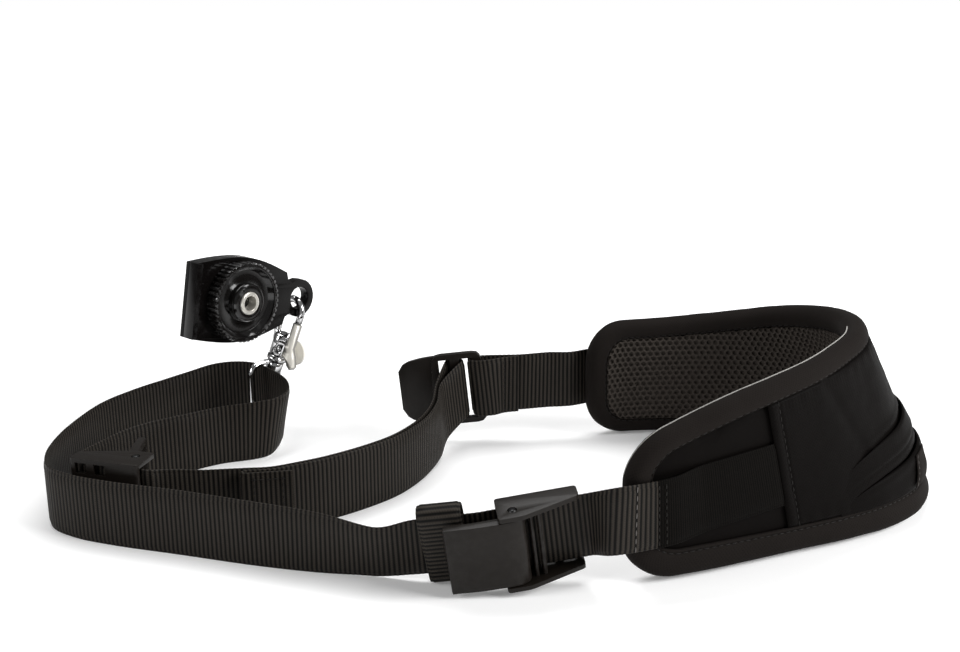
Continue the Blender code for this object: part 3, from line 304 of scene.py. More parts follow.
RIB = 1.75 * MM
WEBBING_BLACK = cloth("webbing_black", (0.0330, 0.0280, 0.0230), 1300, 2200, 0.00005, 0.55, 0.02, ribs=RIB,
                      specular=0.10)
# painted shade: a darker copy of the same webbing's finish for its part over the pad, which is also flatter
# and less glossy
WEBBING_SHADED = cloth("webbing_flat", (0.0056, 0.0045, 0.0036), 1300, 2200, 0.00004, 0.7, 0.01,
                     ribs=RIB / 2, specular=0.04)
PAD_NYLON = cloth("pad_nylon", (0.0036, 0.0029, 0.0026), 1500, 1500, 0.00004, 0.60, 0.0, specular=0.03)
TAPE_BLACK = cloth("binding_tape", (0.0112, 0.0092, 0.0082), 1700, 1700, 0.00004, 0.8, 0.01,
                   specular=0.04)
NET_BLACK = cloth("spacer_mesh", (0.0500, 0.0420, 0.0360), 2600, 2600, 0.00004, 0.75, 0.03,
                  specular=0.10)
THREAD_BLACK = cloth("sewing_thread", (0.014, 0.013, 0.012), 2500, 2500, 0.00003, 0.55, 0.02,
                     specular=0.10)
THREAD_GREY = cloth("pale_thread", (0.11, 0.10, 0.095), 2500, 2500, 0.00003, 0.55, 0.05)
# painted highlight: the pale colour of a cord that stands for light caught by the binding's crest
PAINTED_HIGHLIGHT_GREY = cloth("piping_grey", (0.34, 0.33, 0.31), 1500, 1500, 0.00003, 0.6, 0.1)
print("cloths ready")

# %% [markdown]
# The buckles are moulded in black nylon with a fine spark texture and soft, slightly paler edges. The
# plate is gloss black over metal, the snap is chromed, and the bush is plain turned steel. Chrome shows
# only what it mirrors, which here is a white studio. Where its surface turns away, its colour is darkened:
# a painted reflection of the dark parts a real room has, so white metal isn't lost against a white table.


# %% Hard finishes
HARD_MOTTLE = 0.15
DARK_REFLECTION_FROM, DARK_REFLECTION_TO = 0.22, 0.62     # how far a bright metal turns away before the painted reflection of a dark room takes over


def hard(name, colour, roughness, metallic=0.0, grain=1500.0, depth=0.00002, worn=None, spread=0.1,
         coat=0.0, specular=0.5, painted_reflection=None):
    """The colour given for where the surface turns away is a painted reflection, as bright metal mirrors a
    dark room there.
    """
    made, tree = blank_material(name)
    solid = add_node(tree, "ShaderNodeTexCoord")
    cloud = place_group(tree, MOTTLE, solid.outputs["Object"], Size=70.0, Amount=HARD_MOTTLE)
    rubbed = place_group(tree, WEAR, solid.outputs["Object"])
    dark = mix_colours(tree, 1.0, colour, cloud.outputs["Value"], "MULTIPLY")
    tone = mix_colours(tree, rubbed.outputs["Mask"], dark, worn or colour)
    # painted reflection: the colour darkens towards the given one where the surface turns away
    if painted_reflection:
        turned = add_node(tree, "ShaderNodeLayerWeight", {"Blend": 0.5})
        away = span(tree, turned.outputs["Facing"], 0.0, 1.0, DARK_REFLECTION_FROM, DARK_REFLECTION_TO)
        tone = mix_colours(tree, away, tone, painted_reflection)
    sparks = add_node(tree, "ShaderNodeTexNoise", {"Scale": grain, "Detail": 3.0},
                      Vector=solid.outputs["Object"])
    bump = add_node(tree, "ShaderNodeBump", {"Strength": 1.0, "Distance": depth}, Height=sparks.outputs[0])
    rough = span(tree, cloud.outputs["Fine"], max(roughness - spread, 0.02), roughness + spread)
    finish_material(tree, {"Metallic": metallic, "Coat Weight": coat, "Coat Roughness": 0.08,
                           "Specular IOR Level": specular},
                    Base_Color=tone, Normal=bump.outputs[0], Roughness=rough)
    return made


PLASTIC = hard("moulded_nylon", (0.0090, 0.0070, 0.0056), 0.36, worn=(0.02, 0.018, 0.016),
               specular=0.17)
PLATE_BLACK = hard("gloss_black_plate", (0.0030, 0.0025, 0.0024), 0.16, grain=900.0, depth=0.000004,
                   worn=(0.02, 0.02, 0.02), coat=0.08, spread=0.05, specular=0.10)
WHEEL_BLACK = hard("gloss_black_wheel", (0.0040, 0.0034, 0.0032), 0.16, grain=900.0, depth=0.000004,
                   worn=(0.05, 0.05, 0.05), coat=0.7, spread=0.05, specular=0.4)
# painted reflection: the chrome darkens to near black where its surface turns away
CHROME = hard("snap_chrome", (0.92, 0.92, 0.93), 0.10, 1.0, grain=300.0, depth=0.000004, spread=0.04,
              worn=(0.95, 0.95, 0.95), painted_reflection=(0.02, 0.02, 0.02))
# painted reflection: the satin plate darkens to grey where its surface turns away
SATIN = hard("satin_nickel", (0.90, 0.87, 0.79), 0.32, 0.2, grain=1200.0, depth=0.000006, spread=0.08,
             painted_reflection=(0.25, 0.24, 0.22))
STEEL = hard("bush_steel", (0.86, 0.83, 0.76), 0.24, 0.7, grain=2200.0, depth=0.000004, spread=0.08)
PIN_STEEL = hard("pin_steel", (0.04, 0.04, 0.04), 0.35, 1.0)
RUBBER = hard("grip_rubber", (0.012, 0.012, 0.012), 0.8, grain=2500.0, depth=0.00003, spread=0.08,
              specular=0.2)
print("hard finishes ready")

# %% [markdown]
# ## The layout
# The straps are drawn with the same few chosen places as the solids, in millimetres: where the middle of
# the webbing is, and how far its upper edge leans. A Bezier curve would do too, but it needs two handles
# at every place. A centripetal curve goes through the places by itself and never loops.

# %% Chosen places
WEBBING_WIDTH = 25.4 * MM
WEBBING_THICK = 1.5 * MM
FLOOR_CLEAR = 0.1 * MM
GAP = 0.3 * MM
PLY = 2.1 * MM
STRAP_MID = (WEBBING_WIDTH / 2 + FLOOR_CLEAR) / MM
PAD_CORE = 7.0 * MM
PAD_RIM = 4.2 * MM
PAD_LIP = 9.0 * MM
PAD_LIP_THICK = 1.3 * MM
PAD_END_RADIUS = 13.8 * MM
PAD_FOOT = 0.7 * MM
PANEL_FRONT = 58.5 * MM
PANEL_REAR = 58.0 * MM
PAD_RAILS = [
    (40, -80, 40, -83, 55.0), (53, -77, 50, -80, 56.0), (70, -71, 62, -75, 60.0),
    (90, -62.5, 76, -70, 65.0), (109, -54.5, 91.5, -63, 69.0), (127.5, -47, 106, -53, 71.5),
    (145.5, -37.5, 118, -40, 73.0), (159.5, -24.5, 128, -25, 73.8), (167, -7, 133, -6, 73.0),
    (165.5, 14, 133.5, 12, 70.5), (154, 34, 129, 29, 67.0), (135, 48.5, 118.5, 43, 63.2),
    (112, 56, 103, 52, 58.8), (90, 59.5, 86, 57, 55.4), (70, 60, 67.5, 58.5, 53.2),
    (54, 58, 52, 57, 52.6), (39, 52, 38, 50, 52.2),
]
FRONT_BAND = [
    (-19.5, -82.8, 16.1, -0.08, -0.28), (-31, -82.0, 14.5, -0.04, -0.32), (-43, -80.8, 12.2, 0.0, -0.42),
    (-64.5, -74.8, 12.6, 0.03, -0.17), (-88, -68, STRAP_MID, 0, -0.05), (-115, -59.5, STRAP_MID, 0, 0),
    (-143, -51.5, STRAP_MID, 0, 0), (-158, -45.5, STRAP_MID, 0, 0),
]
UPPER_BAND = [
    (-168, -38, STRAP_MID, 0, 0), (-172.6, -26, STRAP_MID, 0, 0), (-173.4, -7, STRAP_MID, 0, 0),
    (-170.5, 13, STRAP_MID, 0, 0), (-166, 29, STRAP_MID, 0, 0), (-157.5, 43.5, STRAP_MID, 0, 0),
    (-148, 55.5, STRAP_MID, 0, 0), (-138, 65.5, 13.4, 0, 0), (-128, 72, 14.8, 0, 0),
    (-118.5, 72.5, 15.8, 0, 0),
]
RING_TURN = [(-109.3, 70, 16.0, 0, 0), (-98.8, 59, 16.0, 0, 0)]
MIDDLE_BAND = [
    (-93.2, 47, 15.6, 0.12, 0.1), (-92.4, 36.5, 15.0, 0.2, 0.1), (-95.6, 29.4, 14.2, 0.14, 0.08),
    (-102.5, 26.5, 13.5, 0.06, 0.04), (-116.3, 22.7, 12.9, 0, 0), (-129.4, 14.1, STRAP_MID, 0, 0),
    (-141.9, 5.3, STRAP_MID, 0, 0), (-149, -2.5, STRAP_MID, 0, 0), (-154, -12, STRAP_MID, 0, 0),
    (-158.3, -23, 13.4, 0, 0), (-158.6, -29.5, 14.6, 0, 0), (-157.7, -34.4, 15.3, 0, 0),
    (-155.5, -37.9, 15.3, 0, 0),
]
LOWER_BAND = [
    (-124.7, -45.5, 14.6, 0, 0), (-117.8, -43.3, 13.8, 0, 0), (-109, -41.6, STRAP_MID, 0, 0),
    (-94.5, -39.8, STRAP_MID, 0, 0), (-85.5, -38.6, STRAP_MID, 0, 0), (-76.5, -34.4, STRAP_MID, 0, 0),
    (-66.6, -28.8, STRAP_MID, 0, 0), (-54.1, -19.4, STRAP_MID, 0, 0), (-43.4, -8.9, STRAP_MID, 0, 0),
    (-36.4, 1.5, 13.0, 0, 0), (-31, 13.5, 13.2, 0, 0), (-27.2, 26, 14.6, -0.04, 0),
    (-25.2, 38, 18.2, -0.1, 0),
]
TAIL_FIRST = 3
HEM_LONG = 17.0
HEM_FOLD = 1.3
FRONT_BUMPER = dict(at=(-1.5, -83.0, 18.4), yaw=6.0, pitch=8.0, lean=8.0)
SIDE_BUMPER = dict(at=(-131.5, -47.5, 15.3), yaw=163.7, pitch=0.0, lean=0.0)
LOCK_AT = (-8.25, 49.5, 25.2)
LOCK_PITCH = 6.0
LOCK_BAR = 4.0 * MM
LOCK_THICK = 3.0 * MM
LOCK_SLOT = 5.6 * MM
KEEPER_TALL = 33.0 * MM
KEEPER_DEEP = 8.4 * MM
KEEPER_WIDE = 15.0 * MM
KEEPER_RISE = 1.0 * MM
print("places for the straps:", len(FRONT_BAND) + len(UPPER_BAND) + len(MIDDLE_BAND) + len(LOWER_BAND))


# %% Curves through places
def spline_at(points, t):
    """A centripetal Catmull-Rom curve through the points at t from 0 to len - 1; it never loops."""
    last = len(points) - 1
    t = min(max(t, 0.0), float(last))
    k = min(int(t), last - 1)
    p1, p2 = points[k], points[k + 1]
    p0 = points[k - 1] if k > 0 else tuple(2 * a - b for a, b in zip(p1, p2))
    p3 = points[k + 2] if k + 2 <= last else tuple(2 * b - a for a, b in zip(p1, p2))
    knots = [0.0]
    for before, after in ((p0, p1), (p1, p2), (p2, p3)):
        knots.append(knots[-1] + max(math.dist(before[:3], after[:3]), 1e-6) ** 0.5)
    here = knots[1] + (knots[2] - knots[1]) * (t - k)

    def mix(first, final, start, end):
        share = (here - start) / (end - start)
        return tuple(x + (y - x) * share for x, y in zip(first, final))

    a1 = mix(p0, p1, knots[0], knots[1])
    a2 = mix(p1, p2, knots[1], knots[2])
    a3 = mix(p2, p3, knots[2], knots[3])
    return mix(mix(a1, a2, knots[0], knots[2]), mix(a2, a3, knots[1], knots[3]), knots[1], knots[2])


def running(points):
    """The length from the first point to each one."""
    run = [0.0]
    for a, b in zip(points, points[1:]):
        run.append(run[-1] + (b - a).length)
    return run


def even_marks(run, step):
    """Even steps along running lengths: a length, the stretch that it falls in and its share of it."""
    count = round(run[-1] / step)
    marks, k = [], 0
    for n in range(count + 1):
        want = run[-1] * n / count
        while k < len(run) - 2 and run[k + 1] < want:
            k += 1
        marks.append((want, k, (want - run[k]) / max(run[k + 1] - run[k], 1e-9)))
    return marks


def metres(points):
    return [(x * MM, y * MM, z * MM, lean_x, lean_y) for x, y, z, lean_x, lean_y in points]


def turn_matrix(degrees, axis):
    return Matrix.Rotation(math.radians(degrees), 4, axis)


def frame_at(place, x_axis, y_axis, z_axis):
    matrix = Matrix((x_axis, y_axis, z_axis)).transposed().to_4x4()
    matrix.translation = Vector(place)
    return matrix


# %% The pad's curved surface
class PadSurface:
    """Ruled between the two rails: a place is a length along the middle, a height and a depth."""

    def __init__(self, rails, steps=400):
        self.rails = [tuple(v * MM for v in row) for row in rails]
        self.steps = steps
        self.lengths = running([self.middle(self.parameter(k)) for k in range(steps + 1)])
        self.length = self.lengths[-1]
        count = round(self.length / MM * 2)
        self.table = [self.exact_frame(self.length * k / count) for k in range(count + 1)]

    def parameter(self, k):
        return k / self.steps * (len(self.rails) - 1)

    def edges(self, t):
        lower_x, lower_y, upper_x, upper_y, upper_z = spline_at(self.rails, t)
        return Vector((lower_x, lower_y, PAD_FOOT)), Vector((upper_x, upper_y, upper_z))

    def middle(self, t):
        lower, upper = self.edges(t)
        return (lower + upper) / 2

    def at_length(self, length):
        inside = min(max(length, 0.0), self.length)
        low = min(bisect.bisect_right(self.lengths, inside), self.steps) - 1
        stretch = self.lengths[low + 1] - self.lengths[low]
        return self.parameter(low + (inside - self.lengths[low]) / stretch)

    def exact_frame(self, length):
        t = self.at_length(length)
        step = 0.02
        lower, upper = self.edges(t)
        tangent = (self.middle(min(t + step, len(self.rails) - 1.0))
                   - self.middle(max(t - step, 0.0))).normalized()
        up = (upper - lower).normalized()
        return ((lower + upper) / 2, up, tangent.cross(up).normalized(), tangent,
                (upper - lower).length / 2 - PAD_RIM)

    def between(self, length):
        at = min(max(length / self.length, 0.0), 1.0) * (len(self.table) - 1)
        k = min(int(at), len(self.table) - 2)
        return self.table[k], self.table[k + 1], at - k

    def frame(self, length):
        low, high, share = self.between(length)
        middle, up, out, tangent = (a.lerp(b, share) for a, b in zip(low[:4], high[:4]))
        past = length - min(max(length, 0.0), self.length)
        return middle + tangent * past, up.normalized(), out.normalized()

    def half_height(self, length):
        low, high, share = self.between(length)
        return low[4] + (high[4] - low[4]) * share

    def place(self, length, height, depth):
        middle, up, out = self.frame(length)
        return middle + up * height + out * depth


PAD = PadSurface(PAD_RAILS)
print("pad length in mm:", round(PAD.length / MM, 1))


# %% The main strap's route
def bumper_matrix(at, yaw, pitch, lean):
    place = Matrix.Translation(Vector(at) * MM)
    return (place @ turn_matrix(yaw, "Z") @ turn_matrix(-pitch, "Y") @ turn_matrix(lean, "X")
            @ turn_matrix(180, "X"))


def along_bumper(bumper, stops):
    matrix = bumper_matrix(**bumper)
    up = matrix.to_3x3() @ Vector((0, 0, -1))
    lift = GAP + WEBBING_THICK / 2
    return [(*(matrix @ Vector((stop * MM, lift, 0))), up.x / up.z, up.y / up.z) for stop in stops]


def lock_matrix():
    pitch = math.radians(LOCK_PITCH)
    along = Vector((-math.cos(pitch), 0.0, -math.sin(pitch)))
    across = Vector((-math.sin(pitch), 0.0, math.cos(pitch)))
    return frame_at(Vector(LOCK_AT) * MM, along, across, along.cross(across))


def on_pad(lengths, depths):
    points = []
    for length, depth in zip(lengths, depths):
        _, up, _ = PAD.frame(length)
        points.append((*PAD.place(length, 0.0, depth), up.x / up.z, up.y / up.z))
    return points


def wrap(centre, radius, start, end, lean, count):
    result = []
    for k in range(count + 1):
        angle = math.radians(start + (end - start) * k / count)
        result.append((centre.x + radius * math.cos(angle), centre.y + radius * math.sin(angle),
                       centre.z, *lean))
    return result


def shifted(points, amount):
    result = []
    for k, point in enumerate(points):
        before = Vector(points[max(k - 1, 0)][:2])
        after = Vector(points[min(k + 1, len(points) - 1)][:2])
        along = (after - before).normalized()
        result.append((point[0] + along.y * amount, point[1] - along.x * amount, *point[2:]))
    return result


OVER_LIP = PAD_CORE / 2 + GAP + PAD_LIP_THICK + GAP + WEBBING_THICK / 2
ON_CORE = PAD_CORE / 2 + GAP + WEBBING_THICK / 2
BAR_WRAP = math.hypot(LOCK_BAR, LOCK_THICK) / 2 + GAP + WEBBING_THICK / 2
LOCK_LEAN = (-math.tan(math.radians(LOCK_PITCH)), 0.0)


LIP_STOPS = [PAD_LIP + PAD_RIM + 3 * MM, 5 * MM, -5 * MM]      # where the webbing climbs over the lip


def main_route():
    start = on_pad([PANEL_FRONT - GAP, 52 * MM, 40 * MM, 28 * MM] + LIP_STOPS,
                   [ON_CORE] * 4 + [OVER_LIP] * 3)
    lower = metres(LOWER_BAND)
    grip = lock_matrix() @ Vector((LOCK_BAR / 2 + LOCK_SLOT + LOCK_BAR / 2, 0, 0))
    round_bar = wrap(grip, BAR_WRAP, 165, -38, LOCK_LEAN, 8)
    tail = list(reversed(shifted(lower[TAIL_FIRST:], PLY)))
    end, before = Vector(tail[-1][:3]), Vector(tail[-2][:3])
    run = (end - before).normalized()
    side = Vector((run.y, -run.x, 0)) * -1
    fold = []
    for k in range(1, 5):
        angle = math.radians(45 * k)
        spot = end + run * HEM_FOLD * MM * math.sin(angle) + side * HEM_FOLD * MM * (1 - math.cos(angle))
        fold.append((*spot, 0.0, 0.0))
    back = [(*(Vector(fold[-1][:3]) - run * HEM_LONG * MM * share - side * 0.2 * MM * share), 0.0, 0.0)
            for share in (0.33, 0.66, 1.0)]
    return (start + along_bumper(FRONT_BUMPER, (31, 27, 14, -1, -6)) + metres(FRONT_BAND)
            + metres(UPPER_BAND) + metres(RING_TURN) + metres(MIDDLE_BAND)
            + along_bumper(SIDE_BUMPER, (21, 12, 2, -3)) + lower + round_bar + tail + fold + back)


def rear_route():
    bar = lock_matrix().translation
    start = [(bar.x + 17 * MM, bar.y + 0.2 * MM, bar.z + 0.9 * MM, 0, 0),
             (bar.x + 11 * MM, bar.y - 0.7 * MM, bar.z + 0.6 * MM, 0, 0),
             (bar.x + 5 * MM, bar.y - 0.9 * BAR_WRAP, bar.z + 0.3 * MM, *LOCK_LEAN)]
    out = [(bar.x + 6 * MM, bar.y + 0.97 * BAR_WRAP, bar.z + 0.3 * MM, *LOCK_LEAN),
           (bar.x + 17 * MM, bar.y + 0.2 * MM + PLY, bar.z + 0.9 * MM, 0, 0),
           (bar.x + 30 * MM, bar.y + 4.5 * MM, bar.z + 1.2 * MM, 0, 0)]
    stops = LIP_STOPS[::-1] + [28 * MM, 42 * MM, PANEL_REAR - GAP]
    pad_part = on_pad([PAD.length - s for s in stops], [OVER_LIP] * 3 + [ON_CORE] * 3)
    return start + wrap(bar, BAR_WRAP, 270, 90, LOCK_LEAN, 6) + out + pad_part


print("route points:", len(main_route()), len(rear_route()))

# %% [markdown]
# ## Webbing
# Heavy polypropylene webbing has ribs straight across it, 1.75 mm from one to the next, and a flatter
# woven edge. A flat ribbon with a bump map would be quicker, but its outline would stay smooth where the
# strap turns. The ribs catch the light one by one, so they are modelled: a section is swept along the
# route with a row every quarter of a rib, and its faces swell and sink as it goes.

# %% A piece from points, faces and a flat map
def mapped_piece(name, verts, faces, maps, finish, sharp=60.0):
    """Points are in the layout's frame; the map gives metres along and across the piece."""
    mesh = bpy.data.meshes.new(name)
    mesh.from_pydata([Vector(v) + CENTRE * MM for v in verts], [], faces)
    layer = mesh.uv_layers.new(name="cut")
    for loop in mesh.loops:
        layer.data[loop.index].uv = maps[loop.vertex_index]
    work = bmesh.new()
    work.from_mesh(mesh)
    bmesh.ops.recalc_face_normals(work, faces=work.faces)
    work.to_mesh(mesh)
    work.free()
    mesh.shade_smooth()
    mesh.set_sharp_from_angle(angle=math.radians(sharp))
    made = blank_object(name, mesh)
    made.data.materials.append(finish)
    return made


def ring_faces(rows, size, closed=False):
    """Faces of a tube of rows rings, with its two ends capped if it isn't closed."""
    faces = []
    for k in range(rows if closed else rows - 1):
        near, far = k * size, (k + 1) % rows * size
        for j in range(size):
            nxt = (j + 1) % size
            faces.append((near + j, near + nxt, far + nxt, far + j))
    if not closed:
        faces.append(tuple(range(size)))
        faces.append(tuple(reversed(range((rows - 1) * size, rows * size))))
    return faces


def sheet_faces(count, rows):
    """Faces of a closed sheet: count lines of rows cells on its outer side, the same again on its inner
    side, and the strips round its edge."""
    wide = rows + 1
    back = count * wide
    faces = []
    for k in range(count - 1):
        a, b = k * wide, (k + 1) * wide
        for j in range(rows):
            faces.append((a + j, a + j + 1, b + j + 1, b + j))
            faces.append((back + a + j, back + b + j, back + b + j + 1, back + a + j + 1))
        faces.append((a, b, back + b, back + a))
        faces.append((a + rows, back + a + rows, back + b + rows, b + rows))
    for j in range(rows):
        a, b = j, (count - 1) * wide + j
        faces.append((a, back + a, back + a + 1, a + 1))
        faces.append((b, b + 1, back + b + 1, back + b))
    return faces


def place_piece(piece, body, slot, *replaced):
    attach(piece, body)
    if replaced:
        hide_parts(*replaced)


# %% Sweeping the webbing
RIB_DEEP = 0.2 * MM
ROWS_PER_RIB = 4
RIB_ROUND = 0.7                   # under 1 the ribs are full and the valleys narrow
FLAT_SWELL = 0.75                 # the least swell of webbing that is pressed flat
SELVEDGE = [(1.0, 0.16), (0.985, 0.40), (0.955, 0.52), (0.925, 0.50), (0.89, 0.58)]


def fine_route(route, step):
    """Places and leans along a route at even steps of length."""
    dense = [spline_at(route, k / 40) for k in range((len(route) - 1) * 40 + 1)]
    places = [Vector(p[:3]) for p in dense]
    leans = [Vector((p[3], p[4], 1.0)).normalized() for p in dense]
    for place, up in zip(places, leans):
        edge = math.sqrt(1 - up.z ** 2) * WEBBING_THICK / 2
        place.z = max(place.z, up.z * WEBBING_WIDTH / 2 + edge + FLOOR_CLEAR)
    return [(places[k].lerp(places[k + 1], share), leans[k].lerp(leans[k + 1], share).normalized(), want)
            for want, k, share in even_marks(running(places), step)]


def webbing_section(swell, width, thick):
    """Half outline from one edge to the other: across and outward, one face's points."""
    half, wide = thick / 2, width / 2
    points = [(-wide * w, half * t) for w, t in SELVEDGE]
    for share in (-0.85, -0.5, 0.0, 0.5, 0.85):
        points.append((wide * share, half - RIB_DEEP * (1 - swell)))
    points += [(wide * w, half * t) for w, t in reversed(SELVEDGE)]
    return points


def sweep_webbing(name, rows, width=WEBBING_WIDTH, thick=WEBBING_THICK, closed=False, smooth_until=0.0):
    """rows are (place, up, length); returns an object with its map in metres along and across."""
    verts, maps = [], []
    total = len(rows)
    for k, (place, up, length) in enumerate(rows):
        ahead = rows[(k + 1) % total][0] if closed else rows[min(k + 1, total - 1)][0]
        behind = rows[k - 1][0] if closed else rows[max(k - 1, 0)][0]
        out = (ahead - behind).cross(up).normalized()
        swell = (0.5 + 0.5 * math.cos(2 * math.pi * length / RIB)) ** RIB_ROUND
        if smooth_until and length < smooth_until:
            swell = FLAT_SWELL + (1 - FLAT_SWELL) * swell
        face = webbing_section(swell, width, thick)
        face = [(w * (1 + 0.008 * swell) if abs(w) > 0.46 * width else w, n) for w, n in face]
        for w, n in face + [(w, -n) for w, n in reversed(face)]:
            verts.append(place + up * w + out * n)
            maps.append((length, w))
    faces = ring_faces(total, 2 * len(webbing_section(0, width, thick)), closed)
    return mapped_piece(name, verts, faces, maps, WEBBING_BLACK)


row_step = RIB / ROWS_PER_RIB
main_rows = fine_route(main_route(), row_step)
rear_rows = fine_route(rear_route(), row_step)
SMOOTH_UNTIL = 48.6 * MM          # over the pad the webbing is flatter, up to its first row of stitches
main_webbing = sweep_webbing("main_webbing", main_rows, smooth_until=SMOOTH_UNTIL)
# the part over the pad takes the darker copy: painted shade in its colour
main_webbing.data.materials.append(WEBBING_SHADED)
flat_rows = sum(1 for row in main_rows if row[2] < SMOOTH_UNTIL)
for face in main_webbing.data.polygons[:flat_rows * 2 * len(webbing_section(0, 1, 1))]:
    face.material_index = 1
rear_band = sweep_webbing("rear_band", rear_rows)
place_piece(main_webbing, "sling", "webbing", "main_strap")
place_piece(rear_band, "sling", "webbing", "rear_webbing")
print("strap lengths in mm:", [round(rows[-1][2] / MM, 1) for rows in (main_rows, rear_rows)])

# %% [markdown]
# The keeper is a short closed loop of narrower webbing that tidies the strap beside the front buckle. The
# same sweep makes it, round a slot-shaped path: the way out and, turned half round, the way back. Its
# ribs are stretched a little, so that a whole number of them closes the loop.


# %% Keeper loop
def keeper_rows():
    route = metres(FRONT_BAND)
    middle = Vector(route[0][:3])
    ahead = (Vector(route[1][:3]) - middle).normalized()
    lean = Vector((*route[0][3:], 1.0))
    up = (lean - ahead * lean.dot(ahead)).normalized()
    side = ahead.cross(up).normalized()
    centre = middle + up * KEEPER_RISE
    radius = KEEPER_DEEP / 2 - WEBBING_THICK / 2
    straight = KEEPER_TALL / 2 - KEEPER_DEEP / 2
    half_turn = math.pi * radius
    half_way = half_turn + 2 * straight
    count = round(2 * half_way / row_step)
    rows = []
    for k in range(count):
        side_sign = 1 if 2 * k < count else -1      # the way back is the way out, turned half round
        s = 2 * half_way * k / count % half_way
        if s < half_turn:
            x, y = radius * math.cos(s / radius), straight + radius * math.sin(s / radius)
        else:
            x, y = -radius, straight - (s - half_turn)
        rows.append((centre + (side * x + up * y) * side_sign, ahead,
                     round(count / ROWS_PER_RIB) * RIB * k / count))
    print("keeper round in mm:", round(2 * half_way / MM, 1))
    return rows


keeper = sweep_webbing("keeper_band", keeper_rows(), width=KEEPER_WIDE, closed=True)
place_piece(keeper, "sling", "webbing", "keeper_loop")
print("keeper faces:", len(keeper.data.polygons))

# %% [markdown]
# ## The shoulder pad
# The pad is a thin foam board that curves round the shoulder, with its foot spread wider than its top. It
# could be modelled bent, but then every seam would have to follow a twisting surface by eye. Instead,
# everything on it is laid out flat first, by length along the pad and height across it, and then bent onto
# the surface between the two rails.

# %% The foam's outline
CORE_START = PAD_RIM
CORE_END = PAD.length - PAD_RIM
LINING_THICK = 1.3 * MM
PANEL_THICK = 1.2 * MM
HALF_CORE = PAD_CORE / 2
LIP_INSIDE = 3.0 * MM
NET_INSET = LIP_INSIDE + GAP


def core_half(length):
    """Half the core's height, with its corners rounded off."""
    half = PAD.half_height(length)
    inset = min(length - CORE_START, CORE_END - length)
    if inset >= PAD_END_RADIUS:
        return half
    reach = PAD_END_RADIUS - inset
    return half - PAD_END_RADIUS + math.sqrt(max(PAD_END_RADIUS ** 2 - reach ** 2, 0.0))


def core_edge(step):
    """Even points round the core's edge: length, height, and the outward direction in both."""
    spread = [(CORE_START + CORE_END) / 2 - (CORE_END - CORE_START) / 2 * math.cos(math.pi * k / 1500)
              for k in range(1501)]
    loop = [Vector((x, -core_half(x))) for x in spread]
    loop += [Vector((x, core_half(x))) for x in reversed(spread)]
    loop.append(loop[0])
    run = running(loop)
    points = [loop[k].lerp(loop[k + 1], share) for _, k, share in even_marks(run, step)[:-1]]
    count = len(points)
    result = []
    for n, point in enumerate(points):
        along = (points[(n + 2) % count] - points[n - 2]).normalized()
        result.append((point.x, point.y, along.y, -along.x))
    return result, run[-1]


def ripple(x, y, size, seed):
    """Soft noise from about -1 to 1."""
    return noise.noise(Vector((x / size, y / size, seed * 7.31)))


# %% [markdown]
# ## Foam board
# A cushion looks soft because its cover is pushed outwards between its seams. The board starts a little
# thin, is remeshed into even faces, and is blown up by a short cloth simulation, which puts the swelling
# where real pressure would. No point moves more than a millimetre, so it still fits its binding.

# %% The foam board
SWELL_LIMIT = 0.85 * MM
FOAM_SHY, FOAM_INSET = 0.9 * MM, 1.0 * MM     # how much thinner and smaller than the core it starts
FOAM_VOXEL = 2.4 * MM
PUFF_PRESSURE, PUFF_FRAMES = 4.0, 20


def foam_board():
    thin, inner = HALF_CORE - FOAM_SHY, FOAM_INSET
    start, end = CORE_START + inner, CORE_END - inner
    count, rows = 190, 16
    verts = []
    for k in range(count + 1):
        s = start + (end - start) * k / count
        half = core_half(s) - inner
        for face in (1, -1):
            verts += [PAD.place(s, half * (2 * j / rows - 1) * face, face * thin) for j in range(rows + 1)]
    faces = ring_faces(count + 1, 2 * (rows + 1))
    board = mapped_piece("foam_board", verts, faces, [(v.x, v.z) for v in verts], PAD_NYLON, 80)
    remesh = board.modifiers.new("even", "REMESH")
    remesh.mode = "VOXEL"
    remesh.voxel_size = FOAM_VOXEL
    return board


def applied(item):
    """The object's mesh with its modifiers applied, and none left on it."""
    bpy.context.view_layer.update()
    seen = item.evaluated_get(bpy.context.evaluated_depsgraph_get())
    mesh = bpy.data.meshes.new_from_object(seen)
    old = item.data
    item.modifiers.clear()
    item.data = mesh
    mesh.name = item.name
    bpy.data.meshes.remove(old)
    return item


board = applied(foam_board())
rest = [v.co.copy() for v in board.data.vertices]
puff = board.modifiers.new("puff", "CLOTH")
puff.settings.use_pressure = True
puff.settings.uniform_pressure_force = PUFF_PRESSURE
puff.settings.effector_weights.gravity = 0.0
puff.settings.quality = 4
puff.point_cache.frame_end = PUFF_FRAMES
for step in range(1, PUFF_FRAMES + 1):
    scene.frame_set(step)
applied(board)
scene.frame_set(1)
for vertex, start in zip(board.data.vertices, rest):
    move = vertex.co - start
    if move.length > SWELL_LIMIT:
        vertex.co = start + move * (SWELL_LIMIT / move.length)
if not board.data.materials:
    board.data.materials.append(PAD_NYLON)
board.data.shade_smooth()
place_piece(board, "sling", "pad_fabric", "pad_cushion")
print("foam board:", len(board.data.vertices), "points")

# %% [markdown]
# ## Binding
# A folded tape runs all the way round. Its lips lie flat on both faces, with a sewn line pressed in just
# short of the edge, and the fold swells into a soft roll that wavers a little between the stitches. A
# curve with a bevel profile keeps one section all the way. Here the outer lip is wide along the bottom
# and narrow along the top, so each ring of the section is placed by a formula.

